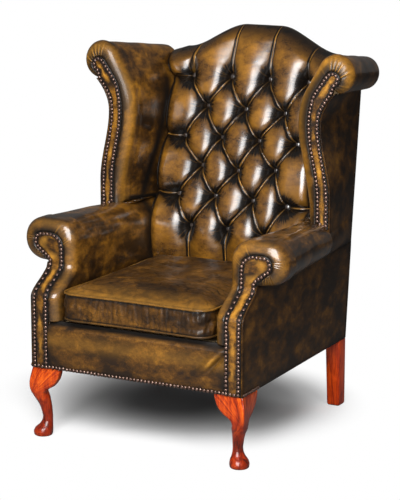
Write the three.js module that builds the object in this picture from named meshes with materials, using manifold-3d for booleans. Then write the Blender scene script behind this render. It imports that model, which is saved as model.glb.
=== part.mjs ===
import * as THREE from 'three';
import { mergeVertices } from 'three/addons/utils/BufferGeometryUtils.js';
import Module from 'manifold-3d';

const wasm = await Module();
wasm.setup();

// Deep-buttoned wing armchair, millimetres
// x runs across, y from the front of the body to its back, z up from the floor

// Body
const bodyWidth = 662;
const bodyTaper = 24;
const rearFlare = 13;
const bodyDepth = 708;
const legHeight = 202;
const seamHeight = 484;
const seamClimb = 12;
const backLean = 7;
const panelSkin = 5;
const clearance = 0.3;

// Arms: heights are from the seam under the roll, widths from the side of the body
const armRise = 123;
const armThickness = 89;
const armOverhang = 82;
const armSetback = 86;
const armRake = 81;
const armTurnRadius = 62;
const armPadWall = 22;
const armNose = 30;
const armStripWidth = 49.7;
const armHeadDrop = 36;
const armHeadInset = 40;
const armHeadRadius = 28;
const armHeadTurn = 44;
const facingThickness = 7;
const facingProud = 3;
const scrollBoard = 32;
const lip = 8;

// Wings: widths are from the side of the body, heights from the scroll and the foot
const wingDepth = 262;
const wingArmDrop = 12;
const wingArmReach = 49;
const wingFootReach = 41;
const wingWaistReach = 10;
const wingTopReach = 49;
const wingFootInset = 28;
const wingWaistInset = 70;
const wingTopInset = 37;
const wingStripFoot = 3;
const wingStripWaist = 33;
const wingStripTop = 2;
const wingScrollReach = 44;
const wingScrollDrop = 91;
const wingScrollRadius = 56;
const wingScrollRise = 22;
const wingEyeInset = 2;
const wingEyeDrop = 13;
const wingEyeRadius = 23;
const wingRearInset = 81;
const wingRearTopInset = 45;
const wingRearScrollInset = 1;
const wingRearScrollDrop = 30;
const wingRearScrollRadius = 47;
const wingRearUnderDrop = 16;
const wingPadWall = 28;
const wingNose = 30;
const wingTail = 10;

// Back
const crestHeight = 1103;
const crestDrop = 73;
const crestFlat = 65;
const crestShoulder = 250;
const crestFall = 0.31;
const backTuck = 7.5;
const backTopInset = 38;
const backWidening = 100;
const buttonPitch = 123;
const rowPitch = 86;
const lowRowRise = 150;
const topRowDrop = 145;
const topRowSetIn = 16;
const insideLean = 19.2;
const tuftDepth = 30;
const backCurl = 14;
const backEdgeFall = 16;
const crestRound = 42;
const crestLip = 6;
const rearTuck = 18;

// Seat
const deckRise = 48;
const cushionGap = 8;
const cushionOverhang = 14;
const cushionRearGap = 15;
const cushionBox = 86;
const cushionCrown = 34;
const cushionCorner = 46;
const piping = 4;
const borderPad = 22;
const borderProud = 5;
const borderRoll = 16;

// Frame timber
const railHeight = 88;
const railThickness = 28;
const sideRailThickness = 26;
const postWidth = 40;
const postDepth = 45;
const postDrop = 45;
const armRailRise = 46;
const armRailThickness = 22;
const armRailInset = 50;
const armRailCover = 38;
const tackRailWidth = 20;
const tackRailHeight = 30;
const tackRailRise = 12;
const lowerRailHeight = 40;
const crestRailThickness = 30;
const crestPadding = 14;
const wingRailWidth = 26;
const wingRailHeight = 26;
const blockLeg = 72;
const blockHeight = 45;
const blockRise = 22;

// Springs and webbing
const springCount = 5;
const springInset = 61.7;
const springWire = 4;
const springSwing = 24;
const springRung = 40;
const strapCount = 3;
const strapHeight = 60;
const strapThickness = 2;
const strapDrop = 95;
const strapRise = 14;

// Legs
const kneeReach = 88;
const kneeBulge = 8;
const kneePost = 42;
const earThickness = 22;
const footWidth = 56;
const footSetIn = 20;
const rearLegWidth = 45;
const rearLegTaper = 5;
const rearLegChamfer = 4;
const bottomClothThickness = 2;
const bottomClothInset = 12;
const bottomClothNotch = 102;

// Finishes
const finish = (color, roughness, metalness) =>
  new THREE.MeshStandardMaterial({ color, roughness, metalness });
const leather = finish(0x5a3f14, 0.35, 0);
const goldLeather = finish(0x8a6220, 0.35, 0);
const polishedWood = finish(0xa8380c, 0.2, 0);
const beech = finish(0xc9a878, 0.7, 0);
const springSteel = finish(0x5d6064, 0.4, 1);
const webbing = finish(0x9a8460, 0.9, 0);
const hessian = finish(0x8d7a58, 0.95, 0);
const blackCloth = finish(0x151515, 0.95, 0);

// Small helpers
const { lerp, clamp, degToRad } = THREE.MathUtils;
const flat = (x, z) => new THREE.Vector2(x, z);
const ease = (share) => {
  const held = clamp(share, 0, 1);
  return held * held * (3 - 2 * held);
};
const shareOf = (value, from, to) => clamp((value - from) / (to - from), 0, 1);
const overrun = bodyDepth;

function arc(x, z, radius, from, to, steps) {
  return Array.from({ length: steps + 1 }, (_, i) => {
    const angle = degToRad(lerp(from, to, i / steps));
    return flat(x + radius * Math.cos(angle), z + radius * Math.sin(angle));
  });
}

// Closed solid from points and triangles, with its faces turned outwards
function solid(points, faces) {
  const build = (turned) =>
    new wasm.Manifold(
      new wasm.Mesh({
        numProp: 3,
        vertProperties: new Float32Array(points.flatMap((p) => p.toArray())),
        triVerts: new Uint32Array(faces.flatMap(([a, b, c]) => (turned ? [a, c, b] : [a, b, c]))),
      }),
    );
  const made = build(false);
  return made.volume() > 0 ? made : build(true);
}

// A slight bow keeps straight runs of points apart while an end is divided into triangles
const bow = 1e-5;

// Solid through rings of points; flatten gives the plane in which the two ends are closed
function loft(rings, flatten) {
  const size = rings[0].length;
  const faces = [];
  for (let ring = 0; ring + 1 < rings.length; ring++)
    for (let i = 0; i < size; i++) {
      const a = ring * size + i;
      const b = ring * size + ((i + 1) % size);
      faces.push([a, b, b + size], [a, b + size, a + size]);
    }
  const close = (ring, start, turned) => {
    const outline = ring.map(flatten).map((p) => flat(p.x + bow * p.y ** 2, p.y + bow * p.x ** 2));
    const along = Math.sign(THREE.ShapeUtils.area(outline));
    THREE.ShapeUtils.triangulateShape(outline, []).forEach(([a, b, c]) => {
      const way = Math.sign(THREE.ShapeUtils.area([outline[a], outline[b], outline[c]]));
      const kept = (way === along) !== turned;
      faces.push(kept ? [start + a, start + b, start + c] : [start + a, start + c, start + b]);
    });
  };
  close(rings[0], 0, true);
  close(rings[rings.length - 1], size * (rings.length - 1), false);
  return solid(rings.flat(), faces);
}
const frontView = (p) => flat(p.x, p.z);
const topView = (p) => flat(p.x, p.y);

// Plate over a grid of places; near and far give the two faces, place turns them into points
function plate(grid, near, far, place) {
  const rows = grid.length;
  const columns = grid[0].length;
  const half = rows * columns;
  const levels = [near, far].flatMap((face) => grid.flat().map((spot) => face(spot.x, spot.y)));
  const spots = grid.flat();
  const points = levels.map((level, i) => place(spots[i % half].x, spots[i % half].y, level));
  const faces = [];
  const cell = (a, b, c, d) => {
    if (levels[a] + levels[c] > levels[b] + levels[d]) faces.push([a, b, c], [a, c, d]);
    else faces.push([a, b, d], [b, c, d]);
  };
  for (let row = 0; row + 1 < rows; row++)
    for (let column = 0; column + 1 < columns; column++) {
      const a = row * columns + column;
      const b = a + 1;
      const c = b + columns;
      const d = a + columns;
      cell(a, b, c, d);
      cell(a + half, d + half, c + half, b + half);
    }
  const border = [];
  for (let column = 0; column < columns; column++) border.push(column);
  for (let row = 1; row < rows; row++) border.push(row * columns + columns - 1);
  for (let column = columns - 2; column >= 0; column--) border.push((rows - 1) * columns + column);
  for (let row = rows - 2; row > 0; row--) border.push(row * columns);
  border.forEach((a, i) => {
    const b = border[(i + 1) % border.length];
    faces.push([b, a, a + half], [b, a + half, b + half]);
  });
  return solid(points, faces);
}
const upright = (x, z, y) => new THREE.Vector3(x, y, z);
const sideways = (y, z, x) => new THREE.Vector3(x, y, z);

// Straight block between two corners
function block(low, high) {
  const size = new THREE.Vector3().subVectors(high, low);
  const box = new THREE.BoxGeometry(size.x, size.y, size.z);
  box.translate((low.x + high.x) / 2, (low.y + high.y) / 2, (low.z + high.z) / 2);
  return fromGeometry(box);
}

// Solid from a plan outline between two heights
function planBlock(outline, low, high) {
  const shape = new THREE.Shape(outline);
  const board = new THREE.ExtrudeGeometry(shape, { depth: high - low, bevelEnabled: false });
  board.translate(0, 0, low);
  return fromGeometry(board);
}

function fromGeometry(geometry) {
  geometry.deleteAttribute('normal');
  geometry.deleteAttribute('uv');
  const merged = mergeVertices(geometry);
  const points = [];
  for (let i = 0; i < merged.attributes.position.count; i++)
    points.push(new THREE.Vector3().fromBufferAttribute(merged.attributes.position, i));
  const faces = [];
  for (let i = 0; i < merged.index.count; i += 3)
    faces.push([0, 1, 2].map((corner) => merged.index.getX(i + corner)));
  return solid(points, faces);
}

const cut = (piece, ...tools) => tools.reduce((left, tool) => left.subtract(tool), piece);

// Outer surfaces shared by the pieces
const bodyHalf = bodyWidth / 2;
const bodyRearHalf = bodyHalf - bodyTaper;
const seamRearHeight = seamHeight + seamClimb;
const seamRearHalf = bodyRearHalf + rearFlare;
const armInside = bodyHalf - armThickness;
const armHeight = seamHeight + armRise;
const armShoulder = seamHeight - armRake;
const crestLow = crestHeight - crestDrop;
const railTop = legHeight + railHeight;
const deckHeight = railTop + deckRise;
const backSlope = Math.tan(degToRad(backLean));
const rearAt = (z) => bodyDepth + Math.max(0, z - seamRearHeight) * backSlope;
const seamAt = (y) => lerp(seamHeight, seamRearHeight, y / bodyDepth);
const rearHalfAt = (z) => lerp(bodyRearHalf, seamRearHalf, shareOf(z, legHeight, seamRearHeight));
const sideAt = (y, z) => lerp(bodyHalf, rearHalfAt(z), y / bodyDepth);
const rakeAt = (z) => armSetback * ease((z - armShoulder) / (seamHeight - armShoulder));
const crestAt = (x) =>
  lerp(crestLow, crestHeight, ease((crestShoulder - Math.abs(x)) / (crestShoulder - crestFlat))) -
  Math.max(0, Math.abs(x) - crestShoulder) * crestFall;

// Heights at which the bent front of the arm is divided
const rakeStepShares = [0, 0.18, 0.34, 0.5, 0.66, 0.82, 1];
const rakeLevels = rakeStepShares.map((share) => lerp(armShoulder, seamHeight, share));
const rakeLevelsAbove = (foot) => {
  const start = Math.max(armShoulder, foot + lip);
  return rakeStepShares.map((share) => lerp(start, seamHeight, share));
};
const turnSteps = 4;
const headSteps = 9;

// Edge of the arm facing seen from the front, from the inner foot round the scroll to the outer foot
const stripOutside = bodyHalf - panelSkin - clearance;
const stripInside = stripOutside - armStripWidth;
const headHeight = armHeight - armHeadDrop;
const headReach = bodyHalf + armOverhang - armHeadInset;
const headLowAngle = -60;
const turnFromAngle = 180;
const turnToAngle = 96;
const topAngle = 90;
function armFacingEdge(foot, grow) {
  const inner = stripInside - grow;
  const turnZ = headHeight - armHeadTurn;
  const headX = headReach - armHeadRadius;
  const headZ = headHeight - armHeadRadius;
  return [
    ...[foot, ...rakeLevelsAbove(foot), (seamHeight + turnZ) / 2].map((z) => flat(inner, z)),
    ...arc(stripInside + armHeadTurn, turnZ, armHeadTurn + grow, turnFromAngle, turnToAngle, turnSteps),
    ...arc(headX, headZ, armHeadRadius + grow, topAngle, headLowAngle, headSteps),
    flat(stripOutside + grow, seamHeight + facingThickness - grow),
  ];
}

// Rungs across a strip: its inner and outer edges paired from the foot to the middle of the scroll
function rungs(edge, outer) {
  const loop = [...edge, ...outer.toReversed()];
  const count = Math.floor(loop.length / 2);
  return Array.from({ length: count }, (_, i) => [loop[i], loop[loop.length - 1 - i]]);
}
const armOuterEdge = (foot, grow) => [foot, ...rakeLevels].map((z) => flat(stripOutside + grow, z));
const armRungs = (foot, grow) => rungs(armFacingEdge(foot, grow), armOuterEdge(foot, grow));

const facingBack = facingThickness - facingProud;
const postFace = facingBack + clearance;
const postBack = postFace + scrollBoard;

const armFacingBoard = plate(
  armRungs(legHeight, 0),
  (x, z) => rakeAt(z) - facingProud,
  (x, z) => rakeAt(z) + facingBack,
  upright,
);
const armPostBoard = plate(
  armRungs(legHeight, 0),
  (x, z) => rakeAt(z) + postFace,
  (x, z) => rakeAt(z) + postBack,
  upright,
);
const armFrontSpace = plate(
  armRungs(0, clearance),
  (x, z) => rakeAt(z) - overrun,
  (x, z) => rakeAt(z) + postBack + clearance,
  upright,
);

// Inside back: line of the button pits and the swelling of the tufts between them
const topRowHeight = crestHeight - topRowDrop;
const topRowDepth = bodyDepth - topRowSetIn;
const buttonRows = Math.floor((topRowHeight - deckHeight - lowRowRise) / rowPitch) + 1;
const lowRowHeight = topRowHeight - rowPitch * (buttonRows - 1);
const insideSlope = Math.tan(degToRad(insideLean));
const lowRowDepth = topRowDepth - (topRowHeight - lowRowHeight) * insideSlope;
function pitLine(z) {
  if (z > lowRowHeight) return topRowDepth - (topRowHeight - z) * insideSlope;
  return lowRowDepth + backCurl * ((lowRowHeight - z) / (lowRowHeight - deckHeight)) ** 2;
}
const foldShare = 0.5;
const crestFoldShare = 0.45;
const deckFoldShare = 0.3;
const pitShare = 0.28;
function tuftSwell(x, z) {
  const held = clamp(z, lowRowHeight, topRowHeight);
  const down = (topRowHeight - held) / rowPitch;
  const across = x / buttonPitch + 0.5;
  const first = across + down / 2;
  const second = across - down / 2;
  const fold = Math.sqrt(Math.abs(Math.sin(Math.PI * first) * Math.sin(Math.PI * second)));
  const nearest = Math.hypot(first - Math.round(first), second - Math.round(second));
  const pit = 1 - Math.exp(-((nearest / pitShare) ** 2));
  const above = ease((z - topRowHeight) / (crestHeight - topRowHeight));
  const below = ease((lowRowHeight - z) / (lowRowHeight - deckHeight));
  const fade = lerp(lerp(1, crestFoldShare, above), deckFoldShare, below);
  return tuftDepth * fade * (foldShare * fold + (1 - foldShare) * Math.max(pit, above, below));
}
const backEdgeShare = 0.12;
const backHalf = armInside + backTuck;
const backTopHalf = bodyHalf - backTopInset;
const backHalfAt = (z) => lerp(backHalf, backTopHalf, shareOf(z, crestLow - backWidening, crestLow));
function backFace(x, z) {
  const edge = 1 - shareOf(Math.abs(x) / backHalfAt(z), 1, 1 - backEdgeShare);
  const over = 1 - shareOf(crestAt(x) - z, 0, crestRound);
  const face = pitLine(z) - tuftSwell(x, z) + backEdgeFall * edge ** 2;
  return lerp(face, backRear(x, z) - crestLip, 1 - Math.sqrt(1 - over ** 2));
}
const columnSteps = 8;
const crestRows = 5;
const deckRows = 4;
const crestRowPower = 0.7;
function backGrid(widthOf, foot, topOf) {
  const rowHeights = [];
  const steps = columnSteps / 2;
  for (let i = 0; i < deckRows; i++) rowHeights.push({ z: lerp(foot, lowRowHeight, i / deckRows), share: 0 });
  for (let i = 0; i <= (buttonRows - 1) * steps; i++)
    rowHeights.push({ z: lowRowHeight + (rowPitch * i) / steps, share: 0 });
  for (let i = 1; i <= crestRows; i++)
    rowHeights.push({ z: topRowHeight, share: (i / crestRows) ** crestRowPower });
  const columns = Math.floor(backHalf / (buttonPitch / columnSteps));
  return rowHeights.map(({ z, share }) =>
    Array.from({ length: 2 * columns + 1 }, (_, i) => {
      const level = lerp(z, topOf(0), share);
      const x = ((i - columns) / columns) * widthOf(level);
      return flat(x, lerp(z, topOf(x), share));
    }),
  );
}
const webFace = postDepth + panelSkin + clearance;
const padBackAt = (z) => rearAt(z) - webFace - strapThickness - 2 * clearance;
const railFaceAt = (z) => rearAt(z) - panelSkin - 2 * clearance - crestRailThickness;
function backRear(x, z) {
  const over = 1 - shareOf(crestAt(x) - z, 0, crestRound / 2);
  return rearAt(z) - panelSkin - clearance - rearTuck * over ** 2;
}
function backBlob(grow) {
  const swellGrow = (x, z) => backFace(x, z) - grow;
  const grid = backGrid((z) => backHalfAt(z) + grow, deckHeight + clearance - grow, (x) => crestAt(x) + grow);
  return plate(grid, swellGrow, (x, z) => backRear(x, z) + grow, upright);
}
const coarseWidthShares = [-1, -0.8, -0.6, -0.4, -0.2, 0, 0.2, 0.4, 0.6, 0.8, 1];
function crestGrid(halfWidth, rows, topOf) {
  const last = rows.length - 1;
  const spot = (x, i) => flat(x, i === last ? topOf(x) : rows[i]);
  return rows.map((row, i) => coarseWidthShares.map((share) => spot(share * halfWidth, i)));
}
const postTop = crestLow - postDrop;
const frameSpace = plate(
  crestGrid(bodyHalf, [0, seamRearHeight, postTop - panelSkin], () => postTop),
  (x, z) => padBackAt(z),
  (x, z) => rearAt(z) + overrun,
  upright,
).add(
  plate(
    crestGrid(bodyHalf, [postTop - panelSkin, crestHeight], (x) => crestAt(x) - crestPadding + clearance),
    (x, z) => railFaceAt(z),
    (x, z) => rearAt(z) + overrun,
    upright,
  ),
);
const backPad = cut(backBlob(0), frameSpace);
const backSpace = backBlob(clearance);

// Arm pad: inside arm and outward roll in one cover
const wingFront = bodyDepth - wingDepth;
const armShareAt = (y) => shareOf(y, armSetback, wingFront);
function armSkinEdge(y, grow) {
  const share = armShareAt(y);
  const crown = armHeight - wingArmDrop * share;
  const under = seamAt(y);
  const radius = (crown - under) / 2;
  const reach = bodyHalf + lerp(armOverhang, wingArmReach, share);
  const turnZ = crown - armTurnRadius;
  const headX = Math.max(reach - radius, armInside + armTurnRadius);
  const foot = deckHeight + clearance;
  const inner = [foot, ...rakeLevelsAbove(foot), (seamHeight + turnZ) / 2];
  return [
    ...inner.map((z) => flat(armInside - grow, z)),
    ...arc(armInside + armTurnRadius, turnZ, armTurnRadius + grow, turnFromAngle, turnToAngle, turnSteps),
    ...arc(headX, crown - radius, radius + grow, topAngle, -topAngle, headSteps),
    flat(bodyHalf - panelSkin - clearance, under - grow),
  ];
}
function armRing(edge, y, yOf) {
  const wall = sideAt(y, seamHeight) - panelSkin - clearance;
  const last = edge[edge.length - 1];
  const closed = [...edge.slice(0, -1), flat(wall, last.y), flat(wall - lip, last.y)];
  closed.push(flat(wall - lip, deckHeight + clearance));
  return closed.map((p) => new THREE.Vector3(p.x, yOf(p.y), p.y));
}
const noseSteps = 3;
function armBlob(grow) {
  const inner = armFacingEdge(deckHeight + clearance, clearance);
  const outer = armSkinEdge(0, grow);
  const rings = [];
  for (let i = 0; i <= noseSteps; i++) {
    const angle = (Math.PI / 2) * (i / noseSteps);
    const edge = outer.map((p, k) => inner[k].clone().lerp(p, Math.sin(angle)));
    rings.push(armRing(edge, 0, (z) => rakeAt(z) - facingProud - grow + armNose * (1 - Math.cos(angle))));
  }
  const reachBack = [armSetback + 2 * armNose, (armSetback + wingFront) / 2, wingFront, bodyDepth];
  reachBack.forEach((y) => rings.push(armRing(armSkinEdge(y, grow), y, () => y)));
  return loft(rings, frontView);
}

// Hollow between the arm pad and the outside arm panel
const hollowInside = armInside + armPadWall;
const hollowStart = scrollBoard / 2;
const armRailHeight = seamHeight + armRailRise;
const armRailTop = armRailHeight + armRailThickness;
const armHollow = (() => {
  const levels = [0, ...rakeLevels.slice(0, -1), seamHeight - facingProud];
  const lower = plate(
    levels.map((z) => [flat(hollowInside, z), flat(overrun, z)]),
    (x, z) => rakeAt(z) + hollowStart,
    () => bodyDepth,
    upright,
  );
  const ring = (y) => {
    const wall = sideAt(y, seamHeight) - panelSkin - clearance - 2 * lip;
    const under = seamAt(y) - facingProud;
    const top = armRailHeight + armRailThickness / 2;
    const low = seamHeight - 2 * lip;
    const outline = [
      flat(hollowInside, low),
      flat(hollowInside, seamHeight + 2 * lip),
      flat(hollowInside + lip, top),
      flat(wall, top),
      flat(wall, under),
      flat(overrun, under),
      flat(overrun, low),
    ];
    return outline.map((p) => new THREE.Vector3(p.x, y, p.y));
  };
  return lower.add(loft([armSetback + hollowStart, wingFront, bodyDepth].map(ring), frontView));
})();

// Arm rail: flat board from the arm post, under the wing post, to the back post
const postFront = bodyDepth - webFace;
const postInside = bodyRearHalf - panelSkin - clearance - postWidth;
const postOutside = postInside + postWidth;
function armRailOutline(grow) {
  const start = armSetback + postBack + clearance;
  const shoulder = wingFront + scrollBoard + facingBack + 2 * clearance;
  return [
    flat(armInside + armRailInset - grow, start - grow),
    flat(bodyHalf + armOverhang - armRailCover + grow, start - grow),
    flat(bodyHalf + wingFootReach - panelSkin + grow, wingFront - grow),
    flat(bodyHalf + wingFootReach - panelSkin + grow, shoulder + grow),
    flat(postOutside + grow, postFront - clearance + grow),
    flat(postInside - grow, postFront - clearance + grow),
    flat(armInside + armRailInset - grow, shoulder),
  ];
}
const armRailSpace = planBlock(armRailOutline(clearance), armRailHeight - clearance, armRailTop + clearance);

// Space behind the front of the wing, where the arm's roll gives way to the outside wing panel
const wingColumn = block(
  new THREE.Vector3(bodyHalf - wingFootInset, wingFront - facingProud - clearance, seamHeight - 2 * lip),
  new THREE.Vector3(overrun, overrun * 2, crestHeight),
);
const armSpace = armBlob(clearance);

// Wing seen from the front: in from the foot to the waist and out to the scroll
const wingArmHeight = armHeight - wingArmDrop;
const scrollZ = crestHeight - wingScrollDrop;
const scrollUnder = scrollZ - wingScrollRadius;
const scrollStart = scrollZ - wingScrollRise;
const rearUnder = scrollUnder - wingRearUnderDrop;
const waistShare = 0.757;
const shelfShare = 0.18;
const waistHeight = lerp(wingArmHeight, scrollUnder, waistShare);
const shelfHeight = lerp(wingArmHeight, scrollUnder, shelfShare);
function wingSide(z, foot, waist, top, shelf, end) {
  if (z < waistHeight) return bodyHalf + lerp(waist, foot, ease((waistHeight - z) / (waistHeight - shelf)));
  return bodyHalf + lerp(waist, top, ((z - waistHeight) / (end - waistHeight)) ** 2);
}
const wingOuterFront = (z) =>
  wingSide(z, wingFootReach, wingWaistReach, wingTopReach, shelfHeight, scrollUnder);
const wingSteps = 8;
const wingLevels = (foot, top) =>
  Array.from({ length: wingSteps + 1 }, (_, i) => lerp(foot, top, i / wingSteps));

// Outside panels: covers drawn over the frame, with the wing panel flared over the end of the arm's roll
function outsideArmShell(grow, proud) {
  const levels = [legHeight - grow, ...rakeLevels];
  const columnShares = [0, 0.5, 1];
  const grid = levels.map((z, i) =>
    columnShares.map((share) => {
      const y = lerp(rakeAt(z) - facingProud - grow, rearAt(z) - panelSkin - clearance + grow, share);
      return flat(y, i === levels.length - 1 ? seamAt(y) - clearance + grow : z);
    }),
  );
  return plate(grid, (y, z) => sideAt(y, z) - panelSkin - grow, (y, z) => sideAt(y, z) + proud, sideways);
}
const wingShareAt = (y, z) => (y - wingFront) / (rearAt(z) - wingFront);
const flareShares = [0, 0.06, 0.16, 0.32, 0.55, 0.78, 1];
const flareRadius = (wingArmHeight - seamAt(wingFront)) / 2;
function flareReach(z) {
  const rise = clamp(z - seamAt(wingFront) - flareRadius, -flareRadius, flareRadius);
  return bodyHalf + wingArmReach - flareRadius + Math.sqrt(flareRadius ** 2 - rise ** 2);
}
function flaredOuter(y, z) {
  const straight = z > armRailTop ? wingOuterFront(z) : 0;
  const front = z < wingArmHeight ? Math.max(flareReach(z), straight) : wingOuterFront(z);
  return lerp(front, rearHalfAt(z), wingShareAt(y, z));
}
function outsideWingShell(grow, proud) {
  const columnShares = [0, 0.35, 0.7, 1];
  const low = columnShares.map((share) => seamAt(lerp(wingFront, rearAt(seamRearHeight), share)) - grow);
  const high = columnShares.map((share) => lerp(scrollUnder, rearUnder, share) - clearance + grow);
  const upper = wingLevels(wingArmHeight, scrollUnder).slice(1, -1);
  const spot = (share, z) =>
    flat(lerp(wingFront - facingProud - grow, rearAt(z) - panelSkin - clearance + grow, share), z);
  const flared = (rise) => columnShares.map((share, i) => spot(share, lerp(low[i], wingArmHeight, rise)));
  const grid = [
    ...flareShares.map(flared),
    ...upper.map((z) => columnShares.map((share) => spot(share, z))),
    columnShares.map((share, i) => spot(share, high[i])),
  ];
  const inner = (y, z) => flaredOuter(y, z) - panelSkin - grow;
  return plate(grid, inner, (y, z) => flaredOuter(y, z) + proud, sideways);
}
const outsideArm = outsideArmShell(0, 0);
const outsideArmSpace = outsideArmShell(clearance, overrun);
const outsideWing = outsideWingShell(0, 0);
const outsideWingSpace = outsideWingShell(clearance, overrun);
const armFacing = cut(armFacingBoard, outsideArmSpace);
const armPost = cut(armPostBoard, outsideArmSpace);
const armRail = cut(planBlock(armRailOutline(0), armRailHeight, armRailTop), outsideWingSpace);
const armPad = cut(
  armBlob(0),
  armHollow,
  armRailSpace,
  armFrontSpace,
  wingColumn,
  backSpace,
  frameSpace,
  outsideArmSpace,
);

// Wing facing strip, seen from the front, and the post behind it
const scrollFrom = 155;
const scrollTo = -75;
const scrollSteps = 11;
const scrollX = bodyHalf + wingScrollReach;
function wingFacingEdge(foot, grow) {
  const side = (z) => wingSide(z, -wingStripFoot, -wingStripWaist, -wingStripTop, shelfHeight, scrollStart);
  const eye = flat(scrollX - wingEyeInset, scrollZ - wingEyeDrop);
  return [
    ...wingLevels(foot, scrollUnder).map((z) => flat(side(z) - grow, z)),
    ...arc(eye.x, eye.y, wingEyeRadius + grow, scrollFrom, scrollTo, scrollSteps),
  ];
}
const wingFootLevel = armRailTop - lip;
const wingWall = (z) => wingOuterFront(z) - panelSkin - clearance;
const wingOuterEdge = (grow) =>
  wingLevels(wingFootLevel, scrollUnder).map((z) => flat(wingWall(z) + grow, z));
const wingRungs = (grow) => rungs(wingFacingEdge(wingFootLevel, grow), wingOuterEdge(grow));
const below = (z) =>
  block(new THREE.Vector3(-overrun, -overrun, -overrun), new THREE.Vector3(overrun, overrun * 2, z));
const wingStrip = (near, far) => plate(wingRungs(0), () => wingFront + near, () => wingFront + far, upright);
const wingFacing = cut(wingStrip(-facingProud, facingBack), outsideWingSpace, below(wingArmHeight - lip));
const wingPost = cut(wingStrip(postFace, postBack), outsideWingSpace, below(armRailTop + clearance));
const wingFrontRungs = wingRungs(clearance);
const wingFrontSpace = plate(
  [wingFrontRungs[0].map((spot) => flat(spot.x, armRailHeight)), ...wingFrontRungs],
  () => wingFront - overrun,
  () => wingFront + postBack + clearance,
  upright,
);

// Wing pad: inside wing and its roll, from the scroll at the front to the back posts
function wingSkinEdge(share, grow) {
  const mix = (front, rear) => lerp(front, rear, share);
  const under = mix(scrollUnder, rearUnder);
  const side = (z, foot, waist, top) => wingSide(z, -foot, -waist, -top, wingArmHeight, scrollStart);
  return [
    ...wingLevels(wingFootLevel, under).map((z) => {
      const front = side(z, wingFootInset, wingWaistInset, wingTopInset);
      const rear = side(z, wingRearInset, wingRearInset, wingRearTopInset);
      return flat(mix(front, rear) - grow, z);
    }),
    ...arc(
      mix(scrollX, bodyHalf - wingRearScrollInset),
      scrollZ - mix(0, wingRearScrollDrop),
      mix(wingScrollRadius, wingRearScrollRadius) + grow,
      scrollFrom,
      scrollTo,
      scrollSteps,
    ),
  ];
}
function wingRing(edge, share, yOf) {
  const under = edge[wingSteps].y;
  const wall = wingLevels(wingFootLevel, under - clearance)
    .toReversed()
    .map((z) => flat(lerp(wingOuterFront(z), rearHalfAt(z), share) - panelSkin - clearance - lip, z));
  const tuck = flat(wall[0].x + lip, under);
  return [...edge, tuck, ...wall].map((p) => new THREE.Vector3(p.x, yOf(p.y), p.y));
}
const wingStationShares = [0.12, 0.4, 0.7];
function wingBlob() {
  const inner = wingFacingEdge(wingFootLevel, clearance);
  const outer = wingSkinEdge(0, 0);
  const rings = [];
  for (let i = 0; i <= noseSteps; i++) {
    const angle = (Math.PI / 2) * (i / noseSteps);
    const edge = outer.map((p, k) => inner[k].clone().lerp(p, Math.sin(angle)));
    rings.push(wingRing(edge, 0, () => wingFront - facingProud + wingNose * (1 - Math.cos(angle))));
  }
  const rearY = (z) => rearAt(z) - panelSkin - clearance;
  wingStationShares.forEach((share) =>
    rings.push(wingRing(wingSkinEdge(share, 0), share, (z) => lerp(wingFront, rearY(z), share))),
  );
  rings.push(wingRing(wingSkinEdge(1, 0), 1, (z) => rearY(z) - wingTail));
  rings.push(wingRing(wingSkinEdge(1, -wingTail / 2), 1, rearY));
  return loft(rings, frontView);
}
const wingHollow = (() => {
  const ring = (share, yOf) => {
    const edge = wingSkinEdge(share, -wingPadWall).slice(0, wingSteps + 1);
    const under = edge[wingSteps].y;
    const wall = lerp(wingOuterFront(under), rearHalfAt(under), share) - panelSkin - clearance - 2 * lip;
    const outline = [
      ...edge,
      flat(wall, under + lip),
      flat(wall, under - facingProud),
      flat(wall + overrun, under - facingProud),
      flat(wall + overrun, wingFootLevel - lip),
      flat(edge[0].x, wingFootLevel - lip),
    ];
    return outline.map((p) => new THREE.Vector3(p.x, yOf(p.y), p.y));
  };
  const startShare = wingStationShares[0] / 2;
  const start = ring(startShare, () => wingFront + scrollBoard / 2);
  const end = ring(1, (z) => rearAt(z) + lip);
  const station = (share) => ring(share, (z) => lerp(wingFront, rearAt(z), share));
  const middle = wingStationShares.slice(1).map(station);
  return loft([start, ...middle, end], frontView);
})();

// Wing rail: from the head of the wing post back to the outer face of the back post
function wingRailRings(grow) {
  const front = wingFront + postBack + clearance;
  const rearLevel = scrollZ - wingRearScrollDrop - wingRailHeight;
  const section = (x, z, y) => {
    const [west, east] = [x - grow, x + wingRailWidth + grow];
    const [low, top] = [z - grow, z + wingRailHeight + grow];
    return [flat(west, low), flat(east, low), flat(east, top), flat(west, top)].map(
      (p) => new THREE.Vector3(p.x, y, p.y),
    );
  };
  return [
    section(scrollX - wingRailWidth, scrollZ - wingRailHeight, front - grow),
    section(postOutside + clearance, rearLevel, rearAt(postTop) - webFace),
    section(postOutside + clearance, rearLevel, rearAt(postTop) - 2 * panelSkin + grow),
  ];
}
const wingRail = loft(wingRailRings(0), frontView);
const wingRailSpace = loft(wingRailRings(clearance), frontView);
const wingPad = cut(
  wingBlob(),
  wingHollow,
  wingRailSpace,
  wingFrontSpace,
  armSpace,
  backSpace,
  frameSpace,
  outsideWingSpace,
);

// Outside back
const outsideBackRow = (z, topOf) =>
  coarseWidthShares.map((share) => {
    const x = share * (rearHalfAt(z) - clearance);
    return flat(x, topOf(x));
  });
const outsideBack = plate(
  [
    ...[legHeight, seamRearHeight, wingArmHeight, rearUnder].map((z) => outsideBackRow(z, () => z)),
    outsideBackRow(crestLow, (x) => crestAt(x) - rearTuck - panelSkin),
  ],
  (x, z) => rearAt(z) - panelSkin,
  (x, z) => rearAt(z),
  upright,
);

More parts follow.
